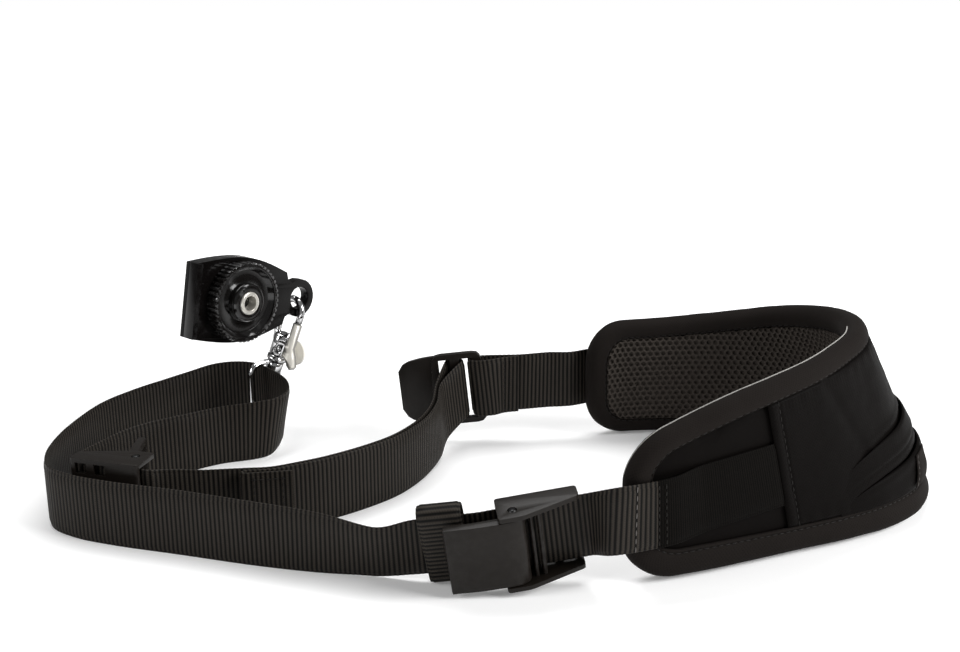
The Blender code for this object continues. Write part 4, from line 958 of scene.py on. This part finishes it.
# %% The binding
BINDING_STEP = 1.2 * MM
LIP_DRAWN = 9.0 * MM              # the lip's reach in the section below
ROLL_WAVER = 0.35 * MM            # how far the roll draws in and out between stitches
PULL_PITCH = 3.1 * MM             # from one pull of the thread to the next
HALF_BINDING = [(-9.0, 3.86), (-9.06, 4.45), (-8.85, 4.92), (-8.4, 5.05), (-8.0, 4.95), (-7.6, 4.62),
                (-7.2, 4.62), (-6.8, 4.97), (-6.0, 5.12), (-4.2, 5.14), (-2.2, 5.1), (-0.4, 5.03),
                (0.9, 4.8), (2.0, 4.32), (3.0, 3.5), (3.75, 2.3), (4.12, 1.1), (4.2, 0.0)]
edge_points, edge_length = core_edge(BINDING_STEP)


def lip_reach(side, out_h):
    """Outside, the lip is wide along the bottom and narrow along the top; inside it is even."""
    return (5.1 - 2.7 * out_h) * MM if side > 0 else LIP_INSIDE


def binding():
    outer = [(d * MM, n * MM) for d, n in HALF_BINDING]
    inner = [(d, -n) for d, n in reversed(outer[:-1])]
    wall = [(GAP, -HALF_CORE - GAP), (GAP, HALF_CORE + GAP)]
    section = outer + inner + wall
    verts, maps = [], []
    for k, (s, h, out_s, out_h) in enumerate(edge_points):
        at = k * BINDING_STEP
        for j, (d, n) in enumerate(section):
            if d < 0:
                d *= lip_reach(n, out_h) / LIP_DRAWN
            on_roll = max(0.0, min(1.0, (d + 1 * MM) / (4 * MM)))
            soft = abs(n) > HALF_CORE + GAP + 0.4 * MM or on_roll > 0
            if soft and j < len(outer) + len(inner):
                slow = ripple(s, h, 0.016, 1.0 + (n > 0)) + 0.5 * ripple(s, h, 0.005, 3.0)
                waver = 0.5 + 0.5 * slow
                d -= on_roll * ROLL_WAVER * waver
                n *= 1 - 0.03 * waver - 0.012 * on_roll * math.cos(2 * math.pi * at / PULL_PITCH)
            verts.append(PAD.place(s + d * out_s, h + d * out_h, n))
            maps.append((at, j * 1.1 * MM))
    faces = ring_faces(len(edge_points), len(section), closed=True)
    return mapped_piece("pad_binding", verts, faces, maps, TAPE_BLACK, 70)


pad_binding = binding()
place_piece(pad_binding, "sling", "pad_fabric", "pad_edge_binding")
print("binding faces:", len(pad_binding.data.polygons), "round in mm:", round(edge_length / MM))

# %% [markdown]
# ## Mesh lining
# The inner face is an open spacer mesh, whose holes are deep enough to be seen from the side, so an image
# of holes isn't enough. One six-sided cell with a hole in it is tiled by a geometry node group over a flat
# lattice, and the flat net is then bent onto the pad and trimmed to its outline.

# %% One cell and its tiling
NET_PITCH = 3.0 * MM
NET_ROW = 2.3 * MM
NET_START, NET_END = CORE_START + NET_INSET, CORE_END - NET_INSET
NET_SAG = 0.12 * MM               # how much the net lifts and sinks over the foam


def net_cell():
    """A hexagon with a sunk hole, in millimetres of depth under the strands' tops."""
    tall = NET_ROW / 2 + NET_PITCH ** 2 / (8 * NET_ROW)
    short = NET_ROW - tall
    corner = [(0, tall), (-NET_PITCH / 2, short), (-NET_PITCH / 2, -short), (0, -tall),
              (NET_PITCH / 2, -short), (NET_PITCH / 2, short)]
    rings = [(1.0, -0.10), (0.90, 0.0), (0.81, -0.12), (0.74, -0.55), (0.70, -1.05)]
    verts = [(x * scale, y * scale, drop * MM) for scale, drop in rings for x, y in corner]
    faces = [(r * 6 + j, r * 6 + (j + 1) % 6, (r + 1) * 6 + (j + 1) % 6, (r + 1) * 6 + j)
             for r in range(len(rings) - 1) for j in range(6)]
    faces.append(tuple((len(rings) - 1) * 6 + j for j in range(6)))
    mesh = bpy.data.meshes.new("net_cell")
    mesh.from_pydata(verts, [], faces)
    return blank_object("net_cell", mesh)


def start_tree(name, floats, others=()):
    """A geometry node group with a Geometry input and output, named values and other named inputs."""
    tree = bpy.data.node_groups.new(name, "GeometryNodeTree")
    tree.interface.new_socket("Geometry", in_out="INPUT", socket_type="NodeSocketGeometry")
    for title, value in floats:
        socket = tree.interface.new_socket(title, in_out="INPUT", socket_type="NodeSocketFloat")
        socket.default_value = value
    for title, kind in others:
        tree.interface.new_socket(title, in_out="INPUT", socket_type=kind)
    tree.interface.new_socket("Geometry", in_out="OUTPUT", socket_type="NodeSocketGeometry")
    return tree, tree.nodes.new("NodeGroupInput"), tree.nodes.new("NodeGroupOutput")


def tile_tree():
    tree, given, result = start_tree("tile_cells", [("Join", 0.05 * MM)],
                                     [("Cell", "NodeSocketObject"), ("Finish", "NodeSocketMaterial")])
    cell = add_node(tree, "GeometryNodeObjectInfo", Object=given.outputs["Cell"])
    spots = add_node(tree, "GeometryNodeMeshToPoints", Mesh=given.outputs["Geometry"])
    laid = add_node(tree, "GeometryNodeInstanceOnPoints", Points=spots.outputs[0],
                    Instance=cell.outputs["Geometry"])
    real = add_node(tree, "GeometryNodeRealizeInstances", Geometry=laid.outputs[0])
    joined = add_node(tree, "GeometryNodeMergeByDistance", Geometry=real.outputs[0],
                      Distance=given.outputs["Join"])
    done = add_node(tree, "GeometryNodeSetMaterial", Geometry=joined.outputs[0],
                    Material=given.outputs["Finish"])
    tree.links.new(done.outputs[0], result.inputs["Geometry"])
    return tree


def run_tree(item, tree, **values):
    """Run a geometry node group on an object and keep its result as a plain mesh."""
    live = item.modifiers.new(tree.name, "NODES")
    live.node_group = tree
    names = {socket.name: socket.identifier for socket in tree.interface.items_tree
             if socket.in_out == "INPUT"}
    for title, value in values.items():
        live[names[title]] = value
    return applied(item)


# %% The mesh lining
def lining_half(s):
    side = min(s - NET_START, NET_END - s)
    corner = PAD_END_RADIUS - NET_INSET
    drop = 0.0
    if side < corner:
        drop = corner - math.sqrt(max(corner ** 2 - (corner - side) ** 2, 0.0))
    return PAD.half_height(s) - NET_INSET - drop


def mesh_lining():
    lattice = []
    rows = int(30 * MM / NET_ROW) + 1
    for j in range(-rows, rows + 1):
        offset = NET_PITCH / 2 if j % 2 else 0.0
        for k in range(int((NET_END - NET_START) / NET_PITCH) + 2):
            s, h = NET_START + offset + k * NET_PITCH, j * NET_ROW
            if s < NET_END + NET_PITCH * 0.4 and abs(h) < lining_half(min(s, NET_END)) + NET_ROW * 0.5:
                lattice.append((s, h, 0.0))
    mesh = bpy.data.meshes.new("net_lattice")
    mesh.from_pydata(lattice, [], [])
    net = blank_object("mesh_net", mesh)
    cell = net_cell()
    run_tree(net, tile_tree(), Cell=cell, Finish=NET_BLACK)
    bpy.data.objects.remove(cell)
    layer = net.data.uv_layers.new(name="cut")
    for loop in net.data.loops:
        layer.data[loop.index].uv = net.data.vertices[loop.vertex_index].co.xy
    top = HALF_CORE + GAP + LINING_THICK - 0.05 * MM
    for vertex in net.data.vertices:
        s = min(max(vertex.co.x, NET_START), NET_END)
        half = lining_half(s)
        h = min(max(vertex.co.y, -half), half)
        sag = NET_SAG * (ripple(s, h, 0.02, 5.0) - 1)
        vertex.co = PAD.place(s, h, -(top + vertex.co.z + sag)) + CENTRE * MM
    net.data.flip_normals()
    net.data.shade_smooth()
    return net


mesh_net = mesh_lining()
place_piece(mesh_net, "sling", "pad_mesh", "pad_mesh_lining")
print("net faces:", len(mesh_net.data.polygons))

# %% [markdown]
# ## Outer skins
# A nylon panel covers the middle of the outer face, with a turned hem at each end. A folded band rises out
# of the lower corner and runs level round the bend, and a smaller panel fills the corner under it. All
# three are one kind of closed skin with two faces. What differs is its outline and a relief in
# millimetres: hems, puckers at the seams, slow swells and a few folds, each one a small formula.

# %% A skin on the pad
def skin(name, lengths, low, high, base, thickness, rows, relief, round_edge=1.2 * MM, finish=PAD_NYLON,
         lift=None, slant=0.0):
    """A closed skin between two heights, of a thickness along its length, over a base depth; relief(s, h)
    shapes its outer face, lift(s, h) moves both faces, and slant leans its ends."""
    verts, maps = [], []
    wide = rows + 1
    for face in (1, -1):
        for s in lengths:
            bottom, top, thick = low(s), high(s), thickness(s)
            for j in range(wide):
                share = j / rows
                h = bottom * (1 - share) + top * share
                edge = min(share * (top - bottom), (1 - share) * (top - bottom), s - lengths[0],
                           lengths[-1] - s)
                near = 1 - min(edge / round_edge, 1.0)
                fall = thick * 0.45 * (1 - math.sqrt(max(1 - near ** 2, 0.0)))
                n = base + thick / 2 + face * (thick / 2 - fall)
                if face > 0:
                    n += relief(s, h) * min(edge / round_edge, 1.0)
                over = s + slant * (h - bottom)
                verts.append(PAD.place(over, h, n + (lift(over, h) if lift else 0.0)))
                maps.append((s, h))
    faces = sheet_faces(len(lengths), rows)
    return mapped_piece(name, verts, faces, maps, finish, 75)


def even(start, end, step):
    count = max(2, round((end - start) / step))
    return [start + (end - start) * k / count for k in range(count + 1)]


def dent(x, centre, width):
    return math.exp(-((x - centre) / width) ** 2)


# %% The outer panel
PANEL_BASE = HALF_CORE + GAP
PANEL_END = PAD.length - PANEL_REAR
BAND_START, BAND_LENGTH = 80 * MM, 105 * MM
BAND_END = BAND_START + BAND_LENGTH


def band_middle(s):
    """The band rises steeply out of the lower corner and then runs level round the bend."""
    return -6.9 * MM - 11 * MM * math.exp((BAND_START - s) / (15 * MM))


def band_half(s):
    return 6.8 * MM - 2 * MM * math.exp((BAND_START - s) / (18 * MM))


def panel_high(s):
    return PAD.half_height(s) - lip_reach(1, 1) - GAP


def panel_low(s):
    return lip_reach(1, -1) + GAP - PAD.half_height(s)


def grown(s):
    """The band and the corner rise out of the panel over their first and last stretch."""
    share = min(max(min(s - BAND_START, BAND_END - s) / (34 * MM), 0.0), 1.0)
    return share * share * (3 - 2 * share)


HEM_SHAPE = [(0.42, 1.9, 1.5), (-0.42, 4.3, 0.6)]     # height, distance from the end and half width in mm
FOLDS = [(-0.5, 38, 3.0), (-0.35, 92, 4.0)]           # the same for the slanting folds
FOLD_SLANT = 0.35
SEAM_RIBS = 1.5 * MM              # fine ribs under the upper binding
PUCKERS = 6.3 * MM                # from one pucker at a seam to the next


def panel_relief(s, h):
    hem = 0.0
    for gap_from in (s - PANEL_FRONT, PANEL_END - s):
        hem += sum(high * dent(gap_from, at * MM, wide * MM) for high, at, wide in HEM_SHAPE)
    top = panel_high(s) - h
    low = h - panel_low(s)
    ribs = 0.10 * math.cos(2 * math.pi * s / SEAM_RIBS) * math.exp(-top / (7 * MM))
    near_seam = math.exp(-top / (3 * MM)) + math.exp(-low / (3 * MM))
    pucker = 0.16 * math.cos(2 * math.pi * s / PUCKERS) * near_seam
    slow = 0.22 * ripple(s, h * 0.5, 0.013, 9.0) + 0.12 * ripple(s, h, 0.005, 11.0)
    slant = s - PANEL_FRONT + FOLD_SLANT * h
    folds = sum(high * dent(slant, at * MM, wide * MM) for high, at, wide in FOLDS)
    beside = h - band_middle(s) - band_half(s)
    crease = 0.45 * dent(beside, 2.6 * MM, 1.4 * MM) * grown(s)
    relief = hem + ribs + pucker + slow + folds + crease
    covered = BAND_START - MM < s < BAND_END + MM and beside < MM
    if covered:
        relief += grown(s) * (min(relief, 0.0) - relief - 0.1)
    return MM * relief


outer_panel = skin("outer_panel", even(PANEL_FRONT, PANEL_END, 0.5 * MM), panel_low, panel_high,
                   PANEL_BASE, lambda s: PANEL_THICK, 48, panel_relief)
place_piece(outer_panel, "sling", "pad_fabric", "pad_outer_panel")

# %% The folded band and the corner panel
BAND_BASE = PANEL_BASE + PANEL_THICK


def band_thick(s):
    return 0.15 * MM + 1.05 * MM * grown(s)


def band_lift(s, h):
    return 0.7 * MM * dent(s, 132 * MM, 24 * MM) - 0.3 * MM * (1 - grown(s)) ** 3


def pocket_lift(s, h):
    """The corner stands away from the panel at the bend, as a loose pocket does."""
    low = max(0.0, min(1.0, (h - panel_low(s)) / (7 * MM)))
    loose = 1.9 * MM * dent(s, 132 * MM, 24 * MM) * low * (2 - low)
    return loose - 0.3 * MM * (1 - grown(s)) ** 3


def band_relief(s, h):
    across = (h - band_middle(s)) / band_half(s)
    roll = 0.5 * (1 - across ** 2)
    fold = -0.45 * dent(across, -0.35, 0.10) + 0.25 * dent(across, -0.1, 0.2)
    return MM * grown(s) * (roll + fold + 0.18 * ripple(s, h, 0.006, 13.0))


def corner_top(s):
    return band_middle(s) - band_half(s) - GAP


def corner_relief(s, h):
    puff = 0.4 * dent(corner_top(s) - h, 2.2 * MM, 2.0 * MM)
    return MM * grown(s) * (puff + 0.25 * ripple(s, h, 0.008, 15.0))


band_lengths = even(BAND_START, BAND_END, 0.9 * MM)
folded_band = skin("folded_band", band_lengths, lambda s: band_middle(s) - band_half(s),
                   lambda s: band_middle(s) + band_half(s), BAND_BASE, band_thick, 22, band_relief,
                   lift=band_lift)
place_piece(folded_band, "sling", "pad_fabric", "pad_diagonal_band")
corner_skin = skin("corner_skin", band_lengths, lambda s: panel_low(s) - 0.5 * MM, corner_top,
                   BAND_BASE, band_thick, 20, corner_relief, lift=pocket_lift)
place_piece(corner_skin, "sling", "pad_fabric", "pad_corner_panel")

# %% [markdown]
# ## Stitching
# Every seam gets its thread, hundreds of stitches in all. A texture of stitches looks flat close up, and
# placing them by hand takes hours. So each seam is a line on the surface, and a geometry node group sets
# one small bead of thread at even steps along it, turned to the line.

# %% Stitches
def stitch_tree():
    tree, given, result = start_tree("stitch_line", [("Pitch", 2.8 * MM), ("Long", 2.1 * MM),
                                                     ("Thick", 0.45 * MM)],
                                     [("Thread", "NodeSocketMaterial")])
    line = add_node(tree, "GeometryNodeMeshToCurve", Mesh=given.outputs["Geometry"])
    spots = add_node(tree, "GeometryNodeResampleCurve", settings={"mode": "LENGTH"}, Curve=line.outputs[0],
                     Length=given.outputs["Pitch"])
    ball = add_node(tree, "GeometryNodeMeshUVSphere", {"Segments": 8, "Rings": 5, "Radius": 0.5})
    size = add_node(tree, "ShaderNodeCombineXYZ", X=given.outputs["Thick"], Y=given.outputs["Thick"],
                    Z=given.outputs["Long"])
    bead = add_node(tree, "GeometryNodeTransform", Geometry=ball.outputs["Mesh"], Scale=size.outputs[0])
    way = add_node(tree, "GeometryNodeInputTangent")
    turn = add_node(tree, "FunctionNodeAlignRotationToVector", settings={"axis": "Z"},
                    Vector=way.outputs[0])
    laid = add_node(tree, "GeometryNodeInstanceOnPoints", Points=spots.outputs[0],
                    Instance=bead.outputs[0], Rotation=turn.outputs[0])
    real = add_node(tree, "GeometryNodeRealizeInstances", Geometry=laid.outputs[0])
    done = add_node(tree, "GeometryNodeSetMaterial", Geometry=real.outputs[0],
                    Material=given.outputs["Thread"])
    tree.links.new(done.outputs[0], result.inputs["Geometry"])
    return tree


STITCHES = stitch_tree()


def stitch(name, lines, pitch=2.8 * MM, length=2.1 * MM, thick=0.45 * MM, thread=THREAD_BLACK,
           slot="pad_fabric"):
    verts, edges = [], []
    for line in lines:
        base = len(verts)
        verts += [Vector(p) + CENTRE * MM for p in line]
        edges += [(base + k, base + k + 1) for k in range(len(line) - 1)]
    mesh = bpy.data.meshes.new(name)
    mesh.from_pydata(verts, edges, [])
    made = blank_object(name, mesh)
    run_tree(made, STITCHES, Pitch=pitch, Long=length, Thick=thick, Thread=thread)
    made.data.shade_smooth()
    place_piece(made, "sling", slot)
    return made


def on_pad_line(points, depth):
    return [PAD.place(s, h, depth) for s, h in points]


SEAM_SHARE = 7.4 * MM / LIP_DRAWN
SEAM_DEPTH = 4.74 * MM            # from the pad's middle to the thread in the binding's groove
HEM_SEAM = 4.4 * MM
HEM_SUNK = 0.28 * MM
binding_lines = []
for side in (1, -1):
    line = [(s - SEAM_SHARE * lip_reach(side, b) * a, h - SEAM_SHARE * lip_reach(side, b) * b)
            for s, h, a, b in edge_points]
    binding_lines.append(on_pad_line(line + line[:1], side * SEAM_DEPTH))
binding_stitches = stitch("binding_stitches", binding_lines, thick=0.4 * MM)
hem_lines = []
for s in (PANEL_FRONT + HEM_SEAM, PANEL_END - HEM_SEAM):
    low, high = panel_low(s) + 1 * MM, panel_high(s) - 1 * MM
    hem_lines.append(on_pad_line([(s, low + (high - low) * k / 20) for k in range(21)],
                                 PANEL_BASE + PANEL_THICK - HEM_SUNK))
hem_stitches = stitch("hem_stitches", hem_lines)
print("stitches:", len(binding_stitches.data.polygons) + len(hem_stitches.data.polygons), "faces")


# %% Stitches through the webbing
THREAD_LIFT = 0.12 * MM


def on_band(rows, length, across):
    """A place on the side of the webbing that faces the camera."""
    k = min(max(round(length / rows[-1][2] * (len(rows) - 1)), 1), len(rows) - 2)
    place, up, _ = rows[k]
    out = (rows[k + 1][0] - rows[k - 1][0]).cross(up).normalized()
    towards = 1.0 if out.dot(CAMERA_AT * MM - CENTRE * MM - place) > 0 else -1.0
    return place + up * across + out * towards * (WEBBING_THICK / 2 + THREAD_LIFT)


def across_band(rows, length, inset=2.2 * MM):
    half = WEBBING_WIDTH / 2 - inset
    return [on_band(rows, length, half * (k / 8 - 1)) for k in range(17)]


def along_band(rows, start, end, across):
    return [on_band(rows, start + (end - start) * k / 24, across) for k in range(25)]


def box_seam(rows, start, end, inset=2.6 * MM):
    half = WEBBING_WIDTH / 2 - inset
    return [across_band(rows, start, inset), across_band(rows, end, inset),
            along_band(rows, start, end, half), along_band(rows, start, end, -half)]


TAIL_BOX = (14 * MM, 3.5 * MM)            # the box of stitches, back from the tail's end
FRONT_SEAMS = (SMOOTH_UNTIL, SMOOTH_UNTIL - 2.5 * MM)
total_main, total_rear = main_rows[-1][2], rear_rows[-1][2]
REAR_SEAMS = (total_rear - 46 * MM, total_rear - 44 * MM, 4 * MM, 6.4 * MM)
EDGE_SEAM = 57.0 * MM                     # the pale row where the webbing goes under the panel
webbing_seams = box_seam(main_rows, *[total_main - back for back in TAIL_BOX])
webbing_seams += [across_band(main_rows, at) for at in FRONT_SEAMS]
webbing_seams += [across_band(rear_rows, at) for at in REAR_SEAMS]
stitch("webbing_stitches", webbing_seams, 2.4 * MM, 1.8 * MM, 0.4 * MM, slot="webbing")
stitch("edge_stitches", [across_band(main_rows, EDGE_SEAM, 1.4 * MM)], 3.2 * MM, 2.2 * MM, 0.4 * MM,
       THREAD_GREY, slot="webbing")
print("rows of stitches on the webbing:", len(webbing_seams) + 1)

# %% [markdown]
# ## Highlight cord and tag
# A thin pale cord along the crest of the front arm is a painted highlight, standing for the light caught by
# the binding's edge, and a small bare tag is sewn into the bend. The cord is a tube along the binding's own
# edge points, so it can't drift off the edge. The tag is one more skin, slanted a little, that rides on the
# corner panel's lift.


# %% Painted highlight cord
def thread_tube(name, points, radius, finish, sides=8):
    verts, maps, run = [], [], 0.0
    for k, point in enumerate(points):
        ahead, behind = points[min(k + 1, len(points) - 1)], points[max(k - 1, 0)]
        along = (ahead - behind).normalized()
        side = along.cross(Vector((0, 0, 1))).normalized()
        up = side.cross(along)
        run += (point - behind).length
        for j in range(sides):
            angle = 2 * math.pi * j / sides
            verts.append(point + (side * math.cos(angle) + up * math.sin(angle)) * radius)
            maps.append((run, j * 0.3 * MM))
    return mapped_piece(name, verts, ring_faces(len(points), sides), maps, finish, 80)


HIGHLIGHT_CORD_END = 130 * MM
HIGHLIGHT_CORD_RADIUS = 0.22 * MM
HIGHLIGHT_CORD_OUT, HIGHLIGHT_CORD_DEPTH = 4.0 * MM, -1.25 * MM       # out from the core's edge, and towards the net
# painted highlight: a pale cord along the crest of the front arm
crest = sorted(row for row in edge_points if row[1] > 0 and row[3] > 0.15 and row[0] < HIGHLIGHT_CORD_END)
highlight_cord_line = [PAD.place(s + HIGHLIGHT_CORD_OUT * out_s, h + HIGHLIGHT_CORD_OUT * out_h, HIGHLIGHT_CORD_DEPTH)
               for s, h, out_s, out_h in crest]
highlight_cord = thread_tube("crest_piping", highlight_cord_line, HIGHLIGHT_CORD_RADIUS, PAINTED_HIGHLIGHT_GREY)
place_piece(highlight_cord, "sling", "pad_fabric")
print("piping length in mm:", round(running(highlight_cord_line)[-1] / MM, 1))

# %% Side tag
TAG_FROM, TAG_TO, TAG_LOW, TAG_HIGH = 115 * MM, 125.6 * MM, -27 * MM, -15.5 * MM
TAG_SLANT = 0.45
TAG_BASE = BAND_BASE + PANEL_THICK + 0.45 * MM
TAG_THICK = 0.6 * MM


def tag_relief(s, h):
    return MM * (0.15 * ripple(s, h, 0.004, 17.0) - 0.2 * dent(s - TAG_FROM, 1.6 * MM, 0.4 * MM))


side_tag = skin("side_tag", even(TAG_FROM, TAG_TO, 0.4 * MM), lambda s: TAG_LOW, lambda s: TAG_HIGH,
                TAG_BASE, lambda s: TAG_THICK, 30, tag_relief, 0.4 * MM, TAPE_BLACK, pocket_lift, TAG_SLANT)
place_piece(side_tag, "sling", "pad_fabric")
tag_line = []
for k in range(13):
    rise = 1 * MM + (TAG_HIGH - TAG_LOW - 2 * MM) * k / 12
    tag_line.append((TAG_FROM + 1.2 * MM + TAG_SLANT * rise, TAG_LOW + rise))
tag_depth = TAG_BASE + TAG_THICK - 0.15 * MM
tag_thread = [PAD.place(s, h, tag_depth + pocket_lift(s, h)) for s, h in tag_line]
stitch("tag_stitches", [tag_thread], 1.9 * MM, 1.4 * MM, 0.35 * MM, THREAD_GREY)
print("tag in mm:", round((TAG_TO - TAG_FROM) / MM, 1), "x", round((TAG_HIGH - TAG_LOW) / MM, 1))

# %% [markdown]
# ## Buckle bars and thumb plate
# Two bars join the cheeks of each cam buckle beyond its lever, and the webbing runs under them. They are
# small outlines drawn out between the cheeks. The snap's gate carries an egg-shaped thumb plate, with the
# rivet's head on it. The plate is bent back at its free side, so it is a sheet of two faces instead.

# %% Bars of the cam buckles
BAR_SPAN = WEBBING_WIDTH / 2 + 0.6 * MM
BARS = [(10.4, 11.6, 6.5), (13.1, 14.5, 6.2)]     # where each bar starts, ends and how high it is, in mm
BAR_FOOT, BAR_CUT = 2.6, 0.35


def extruded(name, outline, low, high, matrix, finish):
    """A flat outline drawn out between two depths of the matrix's Z."""
    verts = [matrix @ Vector((x, y, z)) for z in (low, high) for x, y in outline]
    faces = ring_faces(2, len(outline))
    return mapped_piece(name, verts, faces, [(v.x, v.z) for v in verts], finish, 40)


def rounded_box(low_x, high_x, low_y, high_y, cut):
    return [(low_x + cut, low_y), (high_x - cut, low_y), (high_x, low_y + cut), (high_x, high_y - cut),
            (high_x - cut, high_y), (low_x + cut, high_y), (low_x, high_y - cut), (low_x, low_y + cut)]


for name, bumper in (("front", FRONT_BUMPER), ("side", SIDE_BUMPER)):
    for k, (low_x, high_x, high_y) in enumerate(BARS):
        outline = [(x * MM, y * MM) for x, y in rounded_box(low_x, high_x, BAR_FOOT, high_y, BAR_CUT)]
        bar = extruded(f"{name}_buckle_bar_{k + 1}", outline, -BAR_SPAN, BAR_SPAN, bumper_matrix(**bumper),
                       PLASTIC)
        place_piece(bar, "sling", "black_plastic")

# %% Thumb plate
SWIVEL_AT = (-99.6, 68.7, 29.4)
SNAP_LEAN, PLATE_YAW = 20.0, 50.0
RIVET_AT, RIVET_RADIUS = (2.2, 8.0), 1.3
RIVET_FROM, RIVET_TO = -6.2, -5.8
THUMB_MIDDLE, THUMB_HALF = (3.6, 6.4), (4.2, 5.7)
THUMB_NEAR, THUMB_THICK = -4.9, 0.9
THUMB_BEND_FROM, THUMB_BEND = 2.6, 0.65


def snap_matrix():
    lean, yaw = math.radians(SNAP_LEAN), math.radians(PLATE_YAW)
    up = Vector((math.sin(lean), 0.0, math.cos(lean)))
    facing = Vector((math.sin(yaw), -math.cos(yaw), 0.0))
    across = (facing - up * facing.dot(up)).normalized()
    return frame_at(Vector(SWIVEL_AT) * MM, across, up, across.cross(up))


def egg(middle_x, middle_y, wide, tall, taper, count=40):
    result = []
    for k in range(count):
        angle = 2 * math.pi * k / count
        result.append(((middle_x + wide * math.cos(angle) * (1 - taper * math.sin(angle))) * MM,
                       (middle_y + tall * math.sin(angle)) * MM))
    return result


def bent_plate(name, middle, half_size, near, thick, bend_from, bend, matrix, finish, rows=24):
    """An egg-shaped plate, bent back beyond a line so that the thumb finds it."""
    verts, wide = [], rows + 1
    for face in (0, 1):
        for k in range(wide):
            y = -math.cos(math.pi * k / rows)
            half = math.sqrt(max(1 - y * y, 0.0004)) * half_size[0] * (1 - 0.15 * y)
            for j in range(wide):
                x = middle[0] - half * math.cos(math.pi * j / rows)
                past = max(x - bend_from, 0.0)
                z = near - bend * past * past / (past + 1.2) - thick * face
                verts.append(matrix @ (Vector((x, middle[1] + y * half_size[1], z)) * MM))
    faces = sheet_faces(wide, rows)
    return mapped_piece(name, verts, faces, [(v.x, v.z) for v in verts], finish, 50)


thumb_plate = bent_plate("thumb_plate", THUMB_MIDDLE, THUMB_HALF, THUMB_NEAR, THUMB_THICK, THUMB_BEND_FROM,
                         THUMB_BEND, snap_matrix(), SATIN)
rivet_head = extruded("rivet_head", egg(*RIVET_AT, RIVET_RADIUS, RIVET_RADIUS, 0.0, 20), RIVET_FROM * MM,
                      RIVET_TO * MM, snap_matrix(), PIN_STEEL)
place_piece(thumb_plate, "gate", "chrome")
place_piece(rivet_head, "gate", "pin_steel")
print("thumb plate in mm:", [2 * half for half in THUMB_HALF])

# %% [markdown]
# ## Hard pieces
# The buckles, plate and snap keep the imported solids, whose edges are perfectly sharp. No moulded or
# turned piece has such edges, and without a line of light along them the render looks like a drawing. The
# triangles are welded, because loose ones have no shared edge to round, and a bevel modifier then rounds
# each edge that is sharper than 35 degrees.

# %% Rounded edges and finishes
FINISHES = {"camera_plate": PLATE_BLACK, "plate_wheel": WHEEL_BLACK, "plate_rubber": RUBBER,
            "threaded_bush": STEEL, "front_bumper_pin": PIN_STEEL, "side_bumper_pin": PIN_STEEL,
            "strap_ring": CHROME, "snap_body": CHROME, "snap_gate": SATIN, "snap_rivet": CHROME,
            "swivel_post": CHROME, "front_bumper_frame": PLASTIC, "front_bumper_lever": PLASTIC,
            "side_bumper_frame": PLASTIC, "side_bumper_lever": PLASTIC, "ladder_lock": PLASTIC}
ROUNDING = {"camera_plate": 0.35, "plate_wheel": 0.15, "plate_rubber": 0.3, "threaded_bush": 0.15,
            "front_bumper_frame": 0.4, "front_bumper_lever": 0.4, "side_bumper_frame": 0.4,
            "side_bumper_lever": 0.4, "ladder_lock": 0.4}
WELD_WITHIN = 0.002 * MM
HARD_EDGE = math.radians(35)
for name, finish in FINISHES.items():
    item = nodes[name]
    item.data.materials.clear()
    item.data.materials.append(finish)
    weld = item.modifiers.new("weld", "WELD")
    weld.merge_threshold = WELD_WITHIN
    if name in ROUNDING:
        rounding = item.modifiers.new("rounding", "BEVEL")
        rounding.width = ROUNDING[name] * MM
        rounding.segments = 3
        rounding.limit_method = "ANGLE"
        rounding.angle_limit = HARD_EDGE
        rounding.harden_normals = False
    item.data.shade_smooth()
    item.data.set_sharp_from_angle(angle=HARD_EDGE)
print("rounded:", len(ROUNDING))
